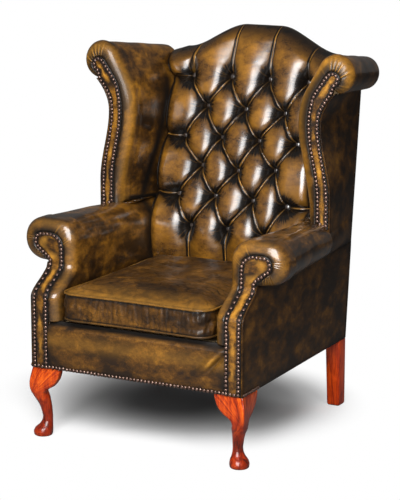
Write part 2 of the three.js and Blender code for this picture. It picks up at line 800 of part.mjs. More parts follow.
// Seat frame
const frontRailBack = borderPad + railThickness;
const sideRailFront = postBack + clearance;
const corner = (x, y) => new THREE.Vector2(x, y);
const outerFace = (y) => sideAt(y, legHeight) - panelSkin - clearance;
const innerFace = (y) => outerFace(y) - sideRailThickness;
const sideRail = planBlock(
  [
    corner(outerFace(sideRailFront), sideRailFront),
    corner(outerFace(postFront - clearance), postFront - clearance),
    corner(innerFace(postFront - clearance), postFront - clearance),
    corner(innerFace(sideRailFront), sideRailFront),
  ],
  legHeight,
  railTop,
);
const frontRail = block(
  new THREE.Vector3(clearance - stripInside, borderPad, legHeight),
  new THREE.Vector3(stripInside - clearance, frontRailBack, railTop),
);
const postRear = bodyDepth - panelSkin - clearance;
const rearRail = block(
  new THREE.Vector3(clearance - postInside, postRear - railThickness, legHeight),
  new THREE.Vector3(postInside - clearance, postRear, railTop),
);
const blockLow = legHeight + blockRise;
const blockHigh = blockLow + blockHeight;
const frontBlock = planBlock(
  [
    corner(innerFace(frontRailBack) - clearance, frontRailBack + clearance),
    corner(innerFace(frontRailBack + blockLeg) - clearance, frontRailBack + blockLeg),
    corner(innerFace(frontRailBack) - blockLeg, frontRailBack + clearance),
  ],
  blockLow,
  blockHigh,
);
const rearRailFace = postRear - railThickness - clearance;
const rearBlock = planBlock(
  [
    corner(postInside - clearance, rearRailFace),
    corner(postInside - blockLeg, rearRailFace),
    corner(innerFace(postFront - blockLeg) - clearance, postFront - blockLeg),
    corner(innerFace(postFront) - clearance, postFront - clearance),
    corner(postInside - clearance, postFront - clearance),
  ],
  blockLow,
  blockHigh,
);
const backPost = plate(
  [legHeight, seamRearHeight, postTop].map((z) => [flat(postInside, z), flat(postOutside, z)]),
  (x, z) => rearAt(z) - webFace,
  (x, z) => rearAt(z) - panelSkin - clearance,
  upright,
);
const tackRailLow = deckHeight + tackRailRise;
const tackRailTop = tackRailLow + tackRailHeight;
const tackRailFront = rakeAt(tackRailTop) + sideRailFront;
const tackRail = planBlock(
  [
    corner(hollowInside + clearance, tackRailFront),
    corner(hollowInside + clearance + tackRailWidth, tackRailFront),
    corner(hollowInside + clearance + tackRailWidth, postFront - clearance),
    corner(hollowInside + clearance, postFront - clearance),
  ],
  tackRailLow,
  tackRailTop,
);
const lowerRail = block(
  new THREE.Vector3(clearance - postInside, postRear - railThickness, tackRailLow),
  new THREE.Vector3(postInside - clearance, postRear, tackRailLow + lowerRailHeight),
);
const crestRailHalf = backTopHalf - panelSkin;
const crestRail = plate(
  crestGrid(bodyHalf, [postTop + clearance, crestLow], (x) => crestAt(x) - crestPadding),
  (x, z) => rearAt(z) - panelSkin - clearance - crestRailThickness,
  (x, z) => rearAt(z) - panelSkin - clearance,
  upright,
).intersect(
  block(
    new THREE.Vector3(-crestRailHalf, 0, 0),
    new THREE.Vector3(crestRailHalf, bodyDepth + overrun, crestHeight),
  ),
);

// Springs, webbing, deck and bottom cloth
const springLevel = railTop + clearance + springWire / 2;
const springSides = 6;
const springSteps = 3;
const springTension = 0.5;
const sectionTurn = 360 / springSides;
function zigzag(centre) {
  const start = frontRailBack - railThickness / 2;
  const end = postRear - railThickness / 2;
  const turns = 2 * Math.round((end - start) / springRung / 2);
  const swing = (i) => (i % 2 ? springSwing : -springSwing);
  const route = Array.from({ length: turns + 1 }, (_, i) => {
    const across = i === 0 || i === turns ? 0 : swing(i);
    return new THREE.Vector3(centre + across, lerp(start, end, i / turns), springLevel);
  });
  const section = new THREE.Shape(arc(0, 0, springWire / 2, 0, 360 - sectionTurn, springSides - 1));
  const path = new THREE.CatmullRomCurve3(route, false, 'catmullrom', springTension);
  const steps = turns * springSteps;
  return fromGeometry(new THREE.ExtrudeGeometry(section, { extrudePath: path, steps, bevelEnabled: false }));
}
const deckHalf = Math.min(hollowInside, stripInside - clearance);
const deck = block(
  new THREE.Vector3(-deckHalf, borderPad, springLevel + springWire / 2 + clearance),
  new THREE.Vector3(deckHalf, postFront - 2 * clearance, deckHeight),
);
const strapLow = seamRearHeight + strapRise;
const strapSpacing = (postTop - strapDrop - strapHeight - strapLow) / (strapCount - 1);
const springSpacing = (2 * (postInside - springInset)) / (springCount - 1);
const strap = (low) =>
  plate(
    [low, low + strapHeight].map((z) => [flat(-postOutside, z), flat(postOutside, z)]),
    (x, z) => rearAt(z) - webFace - strapThickness - clearance,
    (x, z) => rearAt(z) - webFace - clearance,
    upright,
  );

// Front border: padded panel under the cushion, between the two facings
const borderRowShares = [0, 0.12, 0.3, 0.6, 0.85, 0.95, 1];
const borderRollShare = 0.85;
const frontBorder = (() => {
  const half = stripInside - clearance;
  const grid = borderRowShares.map((share) =>
    coarseWidthShares.map((across) => flat(across * half, lerp(legHeight, deckHeight, share))),
  );
  const face = (z) => {
    const share = shareOf(z, legHeight, deckHeight);
    const swell = Math.sqrt(Math.sin(Math.PI * Math.min(share, 0.5)));
    return borderRoll * ease((share - borderRollShare) / (1 - borderRollShare)) - borderProud * swell;
  };
  return plate(grid, (x, z) => face(z), () => borderPad - clearance, upright);
})();

// Loose seat cushion: boxed, with piped edges, drawn-in sides and a crowned top
const cushionHalf = armInside - cushionGap;
const cushionBack = lowRowDepth - cushionRearGap;
const cushionHalfDepth = (cushionBack + cushionOverhang) / 2;
const cushionMiddle = (cushionBack - cushionOverhang) / 2;
const cornerSteps = 4;
function cushionOutline(inset, draw) {
  const radius = Math.max(cushionCorner - inset, cushionCorner / 4);
  const [halfX, halfY] = [cushionHalf - inset, cushionHalfDepth - inset];
  const outline = [];
  [0, 90, 180, 270].forEach((from, quarter) => {
    const toX = quarter === 0 || quarter === 3 ? 1 : -1;
    const toY = quarter < 2 ? 1 : -1;
    const centre = flat(toX * (halfX - radius), toY * (halfY - radius));
    outline.push(...arc(centre.x, centre.y, radius, from, from + 90, cornerSteps));
    outline.push(quarter % 2 ? flat(toX * (halfX - draw), 0) : flat(0, toY * (halfY - draw)));
  });
  return outline;
}
const crownShares = [
  { rise: 0.3, inset: 0.03 },
  { rise: 0.58, inset: 0.08 },
  { rise: 0.8, inset: 0.16 },
  { rise: 0.94, inset: 0.27 },
  { rise: 1, inset: 0.4 },
];
const seatCushion = (() => {
  const low = deckHeight + clearance;
  const seamLow = low + piping;
  const seamTop = low + cushionBox;
  const layers = [
    { z: low, inset: 3 * piping, draw: piping },
    { z: seamLow, inset: 0, draw: piping },
    { z: seamLow + piping, inset: piping, draw: piping },
    { z: (seamLow + seamTop) / 2, inset: piping / 2, draw: 2 * piping },
    { z: seamTop - piping, inset: piping, draw: piping },
    { z: seamTop, inset: 0, draw: piping },
    { z: seamTop + piping, inset: piping, draw: piping },
    ...crownShares.map(({ rise, inset }) => ({
      z: seamTop + cushionCrown * rise,
      inset: 2 * cushionHalf * inset,
      draw: 0,
    })),
  ];
  return loft(
    layers.map(({ z, inset, draw }) =>
      cushionOutline(inset, draw).map((p) => new THREE.Vector3(p.x, p.y + cushionMiddle, z)),
    ),
    topView,
  );
})();

// Front legs: cabriole, from a pad foot through the ankle to a square knee with two ears
const legTop = legHeight - clearance;
const shankShares = [
  { height: 0, width: 0.82, setIn: 1 },
  { height: 0.015, width: 0.95, setIn: 1 },
  { height: 0.06, width: 1, setIn: 1 },
  { height: 0.11, width: 0.92, setIn: 1.09 },
  { height: 0.16, width: 0.68, setIn: 1.32 },
  { height: 0.21, width: 0.55, setIn: 1.45 },
  { height: 0.27, width: 0.51, setIn: 1.5 },
  { height: 0.4, width: 0.59, setIn: 1.36 },
  { height: 0.47, width: 0.66, setIn: 1.21 },
  { height: 0.55, width: 0.8, setIn: 0.98 },
];
const kneeShares = [
  { height: 0.64, reach: 0.48, bulge: 0.9, round: 0.5 },
  { height: 0.68, reach: 0.54, bulge: 1, round: 0.25 },
  { height: 0.73, reach: 0.68, bulge: 1, round: 0 },
  { height: 0.78, reach: 0.8, bulge: 1, round: 0 },
  { height: 0.86, reach: 0.92, bulge: 0.72, round: 0 },
  { height: 0.94, reach: 0.98, bulge: 0.3, round: 0 },
  { height: 1, reach: 1, bulge: 0, round: 0 },
];
const kneeFaceShares = [0.25, 0.5, 0.75, 1];
const legPoints = 18;
const cornerAngle = 225;
const legRing = (middle, radius) =>
  Array.from({ length: legPoints }, (_, i) => {
    const angle = degToRad(cornerAngle + (360 * i) / legPoints);
    return flat(middle + radius * Math.cos(angle), middle + radius * Math.sin(angle));
  });

// Square knee with an ear along each face of the body, measured inwards from the body's corner
function kneeRing(reach, bulge, round) {
  const inner = kneePost - bulge;
  const half = [
    ...kneeFaceShares.map((share) => flat(lerp(-bulge, reach, share), lerp(-bulge, 0, share))),
    flat(reach, earThickness),
    flat((reach + inner) / 2, earThickness),
    flat(inner, earThickness),
    flat(inner, (earThickness + inner) / 2),
  ];
  const other = half.map((p) => flat(p.y, p.x)).reverse();
  const square = [flat(-bulge, -bulge), ...half, flat(inner, inner), ...other];
  const circle = legRing((inner - bulge) / 2, kneePost / 2);
  return square.map((p, i) => p.lerp(circle[i], round));
}
const frontLeg = (() => {
  const place = (ring, height) => ring.map((p) => new THREE.Vector3(bodyHalf - p.x, p.y, height * legTop));
  return loft(
    [
      ...shankShares.map(({ height, width, setIn }) =>
        place(legRing(setIn * footSetIn, (width * footWidth) / 2), height),
      ),
      ...kneeShares.map(({ height, reach, bulge, round }) =>
        place(kneeRing(reach * kneeReach, bulge * kneeBulge, round), height),
      ),
    ],
    topView,
  );
})();

// Rear legs: square, tapered a little on the inside, with a chamfered foot
const rearLeg = (() => {
  const section = (inset, taper, z) => {
    const [west, east] = [bodyRearHalf - rearLegWidth + inset + taper, bodyRearHalf - inset];
    const [front, rear] = [bodyDepth - rearLegWidth + inset + taper, bodyDepth - inset];
    const corners = [flat(west, front), flat(east, front), flat(east, rear), flat(west, rear)];
    return corners.map((p) => new THREE.Vector3(p.x, p.y, z));
  };
  return loft(
    [
      section(rearLegChamfer, rearLegTaper, 0),
      section(0, rearLegTaper, rearLegChamfer),
      section(0, 0, legTop),
    ],
    topView,
  );
})();
const bottomCloth = (() => {
  const [front, rear] = [bottomClothInset, bodyDepth - bottomClothInset];
  const rearStep = rear - rearLegWidth;
  const edgeX = (y) => sideAt(y, legHeight) - bottomClothInset;
  const right = [
    corner(bodyHalf - bottomClothNotch, front),
    corner(bodyHalf - bottomClothNotch, bottomClothNotch),
    corner(edgeX(bottomClothNotch), bottomClothNotch),
    corner(edgeX(rearStep), rearStep),
    corner(edgeX(rear) - rearLegWidth, rearStep),
    corner(edgeX(rear) - rearLegWidth, rear),
  ];
  const left = right.map((p) => corner(-p.x, p.y)).reverse();
  return planBlock([...right, ...left], legTop - bottomClothThickness, legTop);
})();

// Assembly
function addPiece(group, name, made, material) {
  const data = made.getMesh();
  const vertices = new Float32Array(data.numVert * 3);
  for (let i = 0; i < data.numVert; i++)
    vertices.set(data.vertProperties.subarray(i * data.numProp, i * data.numProp + 3), i * 3);
  const geometry = new THREE.BufferGeometry();
  geometry.setAttribute('position', new THREE.BufferAttribute(vertices, 3));
  geometry.setIndex(new THREE.BufferAttribute(new Uint32Array(data.triVerts), 1));
  geometry.computeVertexNormals();
  const mesh = new THREE.Mesh(geometry, material);
  mesh.name = name;
  group.add(mesh);
}

const chair = new THREE.Group();
const pairs = [
  ['arm_pad', armPad, leather],
  ['arm_facing', armFacing, goldLeather],
  ['arm_post', armPost, beech],
  ['arm_rail', armRail, beech],
  ['arm_tack_rail', tackRail, beech],
  ['wing_pad', wingPad, leather],
  ['wing_facing', wingFacing, goldLeather],
  ['wing_post', wingPost, beech],
  ['wing_rail', wingRail, beech],
  ['outside_arm', outsideArm, leather],
  ['outside_wing', outsideWing, leather],
  ['side_seat_rail', sideRail, beech],
  ['front_corner_block', frontBlock, beech],
  ['rear_corner_block', rearBlock, beech],
  ['back_post', backPost, beech],
  ['front_leg', frontLeg, polishedWood],
  ['rear_leg', rearLeg, polishedWood],
];
[1, -1].forEach((side) => {
  const half = new THREE.Group();
  half.scale.x = side;
  pairs.forEach(([name, made, material]) =>
    addPiece(half, `${name}_${side > 0 ? 'left' : 'right'}`, made, material),
  );
  chair.add(half);
});
addPiece(chair, 'front_seat_rail', frontRail, beech);
addPiece(chair, 'rear_seat_rail', rearRail, beech);
addPiece(chair, 'lower_back_rail', lowerRail, beech);
addPiece(chair, 'crest_rail', crestRail, beech);
for (let i = 0; i < springCount; i++)
  addPiece(chair, `seat_spring_${i + 1}`, zigzag((i - (springCount - 1) / 2) * springSpacing), springSteel);
for (let i = 0; i < strapCount; i++)
  addPiece(chair, `back_webbing_${i + 1}`, strap(strapLow + i * strapSpacing), webbing);
addPiece(chair, 'seat_deck', deck, hessian);
addPiece(chair, 'seat_cushion', seatCushion, leather);
addPiece(chair, 'back_pad', backPad, leather);
addPiece(chair, 'front_border', frontBorder, leather);
addPiece(chair, 'outside_back', outsideBack, leather);
addPiece(chair, 'bottom_cloth', bottomCloth, blackCloth);

// The origin is on the floor, under the middle of the whole chair
const bounds = new THREE.Box3().setFromObject(chair);
chair.position.y = -(bounds.min.y + bounds.max.y) / 2;

export default chair;
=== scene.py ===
import math
import bpy
import numpy as np
from mathutils import Vector, Matrix, noise


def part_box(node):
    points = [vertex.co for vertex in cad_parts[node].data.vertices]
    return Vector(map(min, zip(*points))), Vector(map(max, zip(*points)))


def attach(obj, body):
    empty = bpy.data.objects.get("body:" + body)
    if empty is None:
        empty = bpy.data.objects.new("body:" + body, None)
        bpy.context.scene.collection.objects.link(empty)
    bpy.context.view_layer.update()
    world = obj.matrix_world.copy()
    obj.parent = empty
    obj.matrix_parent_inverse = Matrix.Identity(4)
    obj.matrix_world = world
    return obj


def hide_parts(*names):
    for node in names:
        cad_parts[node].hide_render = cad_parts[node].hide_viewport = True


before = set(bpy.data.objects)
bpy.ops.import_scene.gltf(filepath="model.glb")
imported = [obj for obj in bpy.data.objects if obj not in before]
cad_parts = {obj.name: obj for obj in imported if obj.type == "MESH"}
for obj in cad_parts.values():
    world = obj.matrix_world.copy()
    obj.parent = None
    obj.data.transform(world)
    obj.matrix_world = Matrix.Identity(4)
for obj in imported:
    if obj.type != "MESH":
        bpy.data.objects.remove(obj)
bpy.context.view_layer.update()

bpy.ops.object.select_all(action="DESELECT")

# Sizes are millimetres: x across, y back from the front of the body, z up from the floor
mm = 0.001
facingProud = 3
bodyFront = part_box("arm_facing_left")[0].y + facingProud * mm
body = {
    "half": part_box("outside_arm_left")[1].x / mm,
    "depth": (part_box("rear_leg_left")[1].y - bodyFront) / mm,
    "rearHalf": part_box("rear_leg_left")[1].x / mm,
    "rearFlare": 13,
    "legTop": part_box("front_border")[0].z / mm,
    "deck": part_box("seat_deck")[1].z / mm,
    "seam": 484,
    "seamRear": 496,
    "shoulder": 403,
    "setback": 86,
    "armTop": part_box("arm_pad_left")[1].z / mm,
    "crest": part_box("back_pad")[1].z / mm,
    "lean": 7,
    "skin": 5.3,
}
halfWidth = body["half"]
depth = body["depth"]
sides = {"left": 1, "right": -1}


# Small helpers for outlines and surfaces
def ease(share):
    held = np.clip(share, 0, 1)
    return held * held * (3 - 2 * held)


def shareOf(value, low, high):
    return np.clip((value - low) / (high - low), 0, 1)


def lerp(a, b, share):
    return a + (b - a) * share


def bell(distance, width):
    return np.exp(-((distance / width) ** 2))


def rakeAt(z):
    return body["setback"] * ease((z - body["shoulder"]) / (body["seam"] - body["shoulder"]))


def rearAt(z):
    return depth + np.maximum(0, z - body["seamRear"]) * math.tan(math.radians(body["lean"]))


def seamAt(y):
    return lerp(body["seam"], body["seamRear"], y / depth)


def rearHalfAt(z):
    return body["rearHalf"] + body["rearFlare"] * shareOf(z, body["legTop"], body["seamRear"])


def sideAt(y, z):
    return lerp(halfWidth, rearHalfAt(z), y / depth)


def arcOf(x, z, radius, start, end, count):
    angle = np.radians(np.linspace(start, end, count))
    return np.stack([x + radius * np.cos(angle), z + radius * np.sin(angle)], axis=1)


def lineOf(start, end, count):
    share = np.linspace(0, 1, count)[:, None]
    return np.array(start, float) * (1 - share) + np.array(end, float) * share


def lengthAlong(points):
    steps = np.linalg.norm(np.diff(points, axis=0), axis=1)
    return np.concatenate([[0], np.cumsum(steps)])


def resample(points, count):
    along = lengthAlong(points)
    wanted = np.linspace(0, along[-1], count)
    return np.stack([np.interp(wanted, along, points[:, k]) for k in range(points.shape[1])], axis=1)


# An outline in x and z, stood up at y
def standAt(edge, y):
    return np.stack([edge[:, 0], np.broadcast_to(y, len(edge)), edge[:, 1]], axis=1)


# Points for noise that follows a surface by its own lengths
def unrolled(along, back):
    along, back = np.broadcast_arrays(along, back)
    return np.stack([along, back, 0 * back], axis=-1)


# Soft noise in millimetres: stretch widens it along x, y and z, and each seed reads another place
seedStep = 7.3


def cloud(grid, size, stretch=(1, 1, 1), seed=0):
    scaled = grid.reshape(-1, 3) / (np.array(stretch) * size) + seed * seedStep
    return np.array([noise.noise(Vector(p)) for p in scaled]).reshape(grid.shape[:-1])


def normalsOf(grid):
    down = np.gradient(grid, axis=0)
    across = np.gradient(grid, axis=1)
    normal = np.cross(down, across)
    return normal / np.maximum(np.linalg.norm(normal, axis=2, keepdims=True), 1e-9)


# Moves a grid of points along its own normals; inner says which way is in
def swell(grid, inner, amount):
    normal = normalsOf(grid)
    if np.sum(normal * (grid - inner)) < 0:
        normal = -normal
    return grid + normal * amount[..., None]


# Closed skin: an outer grid, a coarser lining and the border that joins them
def cellsOf(index):
    return np.stack([index[:-1, :-1], index[:-1, 1:], index[1:, 1:], index[1:, :-1]], axis=-1).reshape(-1, 4)


def rimFaces(line, picks, lining):
    faces = []
    for k in range(len(picks) - 1):
        run = line[picks[k]:picks[k + 1] + 1]
        faces.append([*run[::-1].tolist(), int(lining[k]), int(lining[k + 1])])
    return faces


def skinMesh(name, outer, inner, marks, side=1, diagonals=None, coarse=4):
    rows, columns = outer.shape[:2]
    half = rows * columns
    down = np.unique(np.append(np.arange(0, rows, coarse), rows - 1))
    across = np.unique(np.append(np.arange(0, columns, coarse), columns - 1))
    lining = inner[np.ix_(down, across)]
    points = np.concatenate([outer.reshape(-1, 3), lining.reshape(-1, 3)])
    index = np.arange(half).reshape(rows, columns)
    within = np.arange(len(down) * len(across)).reshape(len(down), len(across)) + half
    quads = cellsOf(index)
    if diagonals is None:
        faces = quads.tolist()
    else:
        turn = diagonals.reshape(-1)
        one = np.where(turn[:, None], quads[:, [0, 1, 2]], quads[:, [0, 1, 3]])
        two = np.where(turn[:, None], quads[:, [0, 2, 3]], quads[:, [1, 2, 3]])
        faces = one.tolist() + two.tolist()
    faces += cellsOf(within)[:, ::-1].tolist()
    faces += rimFaces(index[0], across, within[0])
    faces += rimFaces(index[:, -1], down, within[:, -1])
    faces += rimFaces(index[-1, ::-1], columns - 1 - across[::-1], within[-1, ::-1])
    faces += rimFaces(index[::-1, 0], rows - 1 - down[::-1], within[::-1, 0])
    plain = np.zeros(len(down) * len(across))
    marks = {key: np.concatenate([values.reshape(-1), plain]) for key, values in marks.items()}
    return skinObject(name, points, faces, marks, side)


def newObject(name, data):
    made = bpy.data.objects.new(name, data)
    bpy.context.scene.collection.objects.link(made)
    return made


def addMarks(mesh, marks):
    for key, values in marks.items():
        mesh.attributes.new(key, "FLOAT", "POINT").data.foreach_set("value", values.astype(np.float32))


def shadeSmooth(mesh):
    mesh.polygons.foreach_set("use_smooth", [True] * len(mesh.polygons))


def cornersOf(mesh):
    corners = np.empty(len(mesh.vertices) * 3)
    mesh.vertices.foreach_get("co", corners)
    return corners.reshape(-1, 3)


def skinObject(name, points, faces, marks, side=1):
    placed = points * mm * np.array([side, 1, 1]) + np.array([0, bodyFront, 0])
    mesh = bpy.data.meshes.new(name)
    mesh.from_pydata(placed.tolist(), [], faces)
    addMarks(mesh, marks)
    pointOutwards(mesh)
    shadeSmooth(mesh)
    return newObject(name, mesh)


def pointOutwards(mesh):
    mesh.calc_loop_triangles()
    triangles = np.empty(len(mesh.loop_triangles) * 3, int)
    mesh.loop_triangles.foreach_get("vertices", triangles)
    p, q, r = cornersOf(mesh)[triangles.reshape(-1, 3)].transpose(1, 0, 2)
    if np.einsum("ij,ij->", p, np.cross(q, r)) < 0:
        mesh.flip_normals()
    mesh.update()


def finishPiece(made, rides, slot, material, *replaced, fill=None):
    made.data.materials.clear()
    made.data.materials.append(material)
    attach(made, rides)
    if replaced:
        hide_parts(*replaced)


# Shader maths on sockets
def operator(operation, swap=False):
    return lambda wire, other: wire.maths(operation, other, swap)


class Wire:
    __add__ = __radd__ = operator("ADD")
    __mul__ = __rmul__ = operator("MULTIPLY")
    __sub__, __rsub__ = operator("SUBTRACT"), operator("SUBTRACT", True)
    __truediv__, __pow__ = operator("DIVIDE"), operator("POWER")

    def __init__(self, shader, socket):
        self.shader = shader
        self.socket = socket

    def maths(self, operation, other=0.0, swap=False):
        first, second = (other, self) if swap else (self, other)
        return self.shader.add("ShaderNodeMath", {"operation": operation}, {0: first, 1: second})

    def clamp(self):
        held = self.maths("ADD")
        held.socket.node.use_clamp = True
        return held

    def step(self, low, high):
        smooth = {"interpolation_type": "SMOOTHSTEP"}
        return self.shader.add("ShaderNodeMapRange", smooth, {0: self, 1: low, 2: high})


class Shader:
    def __init__(self, owner, output, kind, look):
        owner.use_nodes = True
        self.owner = owner
        self.tree = owner.node_tree
        self.tree.nodes.clear()
        self.output = self.tree.nodes.new(output)
        self.surface = self.add(kind, {}, look)
        self.show(self.surface)

    def show(self, surface):
        self.join(self.output.inputs["Surface"], surface)

    def add(self, kind, settings, sockets, out=0):
        node = self.tree.nodes.new(kind)
        for key, value in settings.items():
            if key == "stops":
                self.setStops(node.color_ramp, value)
            else:
                setattr(node, key, value)
        for key, value in sockets.items():
            self.join(node.inputs[key], value)
        return Wire(self, node.outputs[out])

    def setStops(self, ramp, stops):
        while len(ramp.elements) < len(stops):
            ramp.elements.new(1)
        for element, (place, colour) in zip(ramp.elements, stops):
            element.position = place
            element.color = (*colour, 1)

    def join(self, socket, value):
        if isinstance(value, Wire):
            self.tree.links.new(value.socket, socket)
        elif isinstance(value, tuple) and len(value) == 3 and socket.type == "RGBA":
            socket.default_value = (*value, 1)
        else:
            socket.default_value = value

    def feed(self, **sockets):
        for key, value in sockets.items():
            self.join(self.surface.socket.node.inputs[key.replace("_", " ")], value)

    def place(self, scale=(1, 1, 1), move=(0, 0, 0)):
        at = self.add("ShaderNodeTexCoord", {}, {}, "Object")
        return self.add("ShaderNodeMapping", {}, {"Vector": at, "Scale": scale, "Location": move})

    def noise(self, vector, scale, detail=4.0, rough=0.55, warp=0.0, out=0):
        sockets = {"Vector": vector, "Scale": scale, "Detail": detail, "Roughness": rough, "Distortion": warp}
        return self.add("ShaderNodeTexNoise", {}, sockets, out)

    def cells(self, vector, scale):
        sockets = {"Vector": vector, "Scale": scale, "Randomness": 1.0}
        return self.add("ShaderNodeTexVoronoi", {"feature": "DISTANCE_TO_EDGE"}, sockets)

    def vector(self, operation, first, second, out="Vector"):
        return self.add("ShaderNodeVectorMath", {"operation": operation}, {0: first, 1: second}, out)

    def point(self, x, y, z):
        return self.add("ShaderNodeCombineXYZ", {}, {"X": x, "Y": y, "Z": z})

    def mark(self, name):
        return self.add("ShaderNodeAttribute", {"attribute_name": name}, {}, "Fac")

    def ray(self, kind):
        return self.add("ShaderNodeLightPath", {}, {}, kind)

    def ramp(self, value, *stops):
        return self.add("ShaderNodeValToRGB", {"stops": stops}, {"Fac": value})

    def mix(self, share, first, second):
        settings = {"data_type": "RGBA", "clamp_factor": True}
        return self.add("ShaderNodeMix", settings, {0: share, 6: first, 7: second}, 2)

    def bump(self, height, strength, distance, under=None):
        sockets = {"Height": height, "Strength": strength, "Distance": distance}
        if under is not None:
            sockets["Normal"] = under
        return self.add("ShaderNodeBump", {}, sockets)


def newMaterial(name, look):
    owner = bpy.data.materials.new(name)
    return Shader(owner, "ShaderNodeOutputMaterial", "ShaderNodeBsdfPrincipled", look)


# Hand-rubbed leather: gold over brown, near-black in the folds from dye and painted shade, with a glossy
# finish; its rubbed gold also paints highlights and sheen; sizes in millimetres
leatherLook = {
    "black": (0.0045, 0.0032, 0.0024),
    "worked": ((0.20, (0.016, 0.0075, 0.0026)), (0.40, (0.066, 0.0270, 0.0040)),
               (0.58, (0.155, 0.0650, 0.0075)), (0.82, (0.295, 0.1270, 0.0110))),
    # The gold of rubbed leather, also the colour of painted highlights, glints and sheen
    "rubbed": (0.58, 0.270, 0.034),
    "tall": (0.85, 0.85, 1.35),
    "layers": {
        "broad": {"size": 120, "detail": 3, "rough": 0.5, "warp": 0.3, "share": 1.00},
        "blotch": {"size": 42, "detail": 4, "rough": 0.6, "warp": 0.35, "share": 1.05},
        "streak": {"size": 13, "detail": 4, "rough": 0.65, "warp": 0.3, "share": 0.40},
        "speck": {"size": 3.2, "detail": 2, "rough": 0.6, "warp": 0.0, "share": 0.34},
    },
    "dyeAndShadeLeast": 0.72, "dyeAndShadeBlotch": 0.6, "goldLeast": 0.35, "goldStreak": 1.2,
    "rough": 0.36, "roughStreak": 0.14, "roughDyeAndShade": 0.12, "coatDyeAndShade": 0.55,
    "grain": 1.6, "grainLine": 0.12, "grainBump": (0.10, 0.0004),
    "ripples": (85, 6, 0.68, 1.4), "rippleHigh": 0.0022,
    "rayTurn": 12.0, "rayFrom": (8, 17), "rayTo": (18, 54), "rayDyeAndShade": 0.95, "rayGlintGold": 0.11,
    "raySpikes": (0.30, 0.64), "rayGlints": (0.55, 0.72), "rayBump": (0.55, 0.0016),
    "crackScale": 46.0, "crackBend": 0.02, "crackWidth": 0.09, "crackPatch": 9, "crackHere": (0.36, 0.62),
}


# Fine puckers running out from each button, by the way and distance from it: dark lines, partly dye and
# partly painted shade, with thin painted glints between them
def buttonRays(shader, level):
    look = leatherLook
    across, up, far = shader.mark("knobX"), shader.mark("knobZ"), shader.mark("knobFar")
    length = (across * across + up * up) ** 0.5 + 0.001
    other = shader.vector("DOT_PRODUCT", level, (13, 0, 17), "Value")
    turn = shader.point(across / length * look["rayTurn"], up / length * look["rayTurn"], other)
    rays = shader.noise(turn, 1.0, 3, 0.65)
    fade = far.step(*look["rayFrom"]) * (1 - far.step(*look["rayTo"]))
    return rays.step(*look["raySpikes"]), rays.step(*look["rayGlints"]), fade


# A net of fine cracks, here and there
def crackLines(shader, level):
    look = leatherLook
    warp = shader.noise(level, 30.0, 3.0, 0.5, 0.0, 1)
    bend = shader.vector("MULTIPLY", warp, (look["crackBend"],) * 3)
    cells = shader.cells(shader.vector("ADD", level, bend), look["crackScale"])
    here = shader.noise(level, look["crackPatch"], 2).step(*look["crackHere"])
    return (1 - cells.step(0.0, look["crackWidth"])) * here


def makeLeather(name, shift, contrast, coat, polish, crumple, glass=1.5, sheen=0.25, rays=False, cracks=0.0):
    look = leatherLook
    shader = newMaterial(name, {"Coat Roughness": polish, "Coat IOR": glass, "Specular IOR Level": sheen})
    level = shader.place()
    wide = shader.place(look["tall"])
    mottle, noises = 0.0, {}
    for key, layer in look["layers"].items():
        at = level if key == "speck" else wide
        noises[key] = shader.noise(at, 1000 / layer["size"], layer["detail"], layer["rough"], layer["warp"])
        mottle = mottle + (noises[key] - 0.5) * layer["share"]
    blotch, streak = noises["blotch"], noises["streak"]
    worked = shader.ramp(mottle * contrast + 0.5 + shift, *look["worked"])
    # The dark mark: dye, and painted shade in hollows, between parts and under the cushion
    stain = shader.mark("stain") * (blotch * look["dyeAndShadeBlotch"] + look["dyeAndShadeLeast"])
    # The gold mark: rubbed gold, and painted highlights, glints and sheen
    wear = shader.mark("wear") * (streak * look["goldStreak"] + look["goldLeast"])
    if rays:
        # Round each button: dark pucker lines, partly dye and partly painted shade, and thin painted glints
        # between them
        spikes, glints, fade = buttonRays(shader, level)
        stain = stain + (1 - spikes) * fade * look["rayDyeAndShade"]
        wear = wear + glints * fade * look["rayGlintGold"]
    if cracks:
        stain = stain + crackLines(shader, level) * cracks
    stain, wear = stain.clamp(), wear.clamp()
    colour = shader.mix(wear, shader.mix(stain, worked, look["black"]), look["rubbed"])
    pores = shader.cells(level, 1000 / look["grain"]).step(0.0, look["grainLine"])
    grain = shader.bump(pores, *look["grainBump"])
    ripple = shader.bump(shader.noise(level, *look["ripples"]), crumple, look["rippleHigh"], grain)
    if rays:
        ripple = shader.bump(spikes * fade, *look["rayBump"], ripple)
    roughness = streak * look["roughStreak"] + look["rough"] + stain * look["roughDyeAndShade"]
    shader.feed(Base_Color=colour, Roughness=roughness, Normal=ripple,
                Coat_Weight=(1 - stain * look["coatDyeAndShade"]) * coat)
    return shader.owner


# Each piece's shift sets it brighter or darker to match how lit it looked, so these leathers are partly lit
# and shaded copies of one; the outside panels' darkness is partly their own dye and partly painted shade for
# facing away from the lamps
backLeather = makeLeather("back_leather", shift=0.09, contrast=0.90, coat=1.0, polish=0.25, crumple=0.05,
                          glass=1.92, sheen=0.05, rays=True)
wingLeather = makeLeather("wing_leather", shift=-0.08, contrast=1.05, coat=0.65, polish=0.17, crumple=0.06)
armLeather = makeLeather("arm_leather", shift=-0.14, contrast=1.15, coat=0.85, polish=0.18, crumple=0.08,
                         glass=1.65)
cushionLeather = makeLeather("cushion_leather", shift=-0.125, contrast=0.80, coat=0.28, polish=0.28,
                             crumple=0.20, cracks=0.45)
borderLeather = makeLeather("border_leather", shift=-0.14, contrast=0.95, coat=0.45, polish=0.24,
                            crumple=0.10)
facingLeather = makeLeather("facing_leather", shift=-0.08, contrast=1.3, coat=0.5, polish=0.22, crumple=0.12)
outsideLeather = makeLeather("outside_leather", shift=-0.19, contrast=0.85, coat=0.25, polish=0.26,
                             crumple=0.10, sheen=0.15)


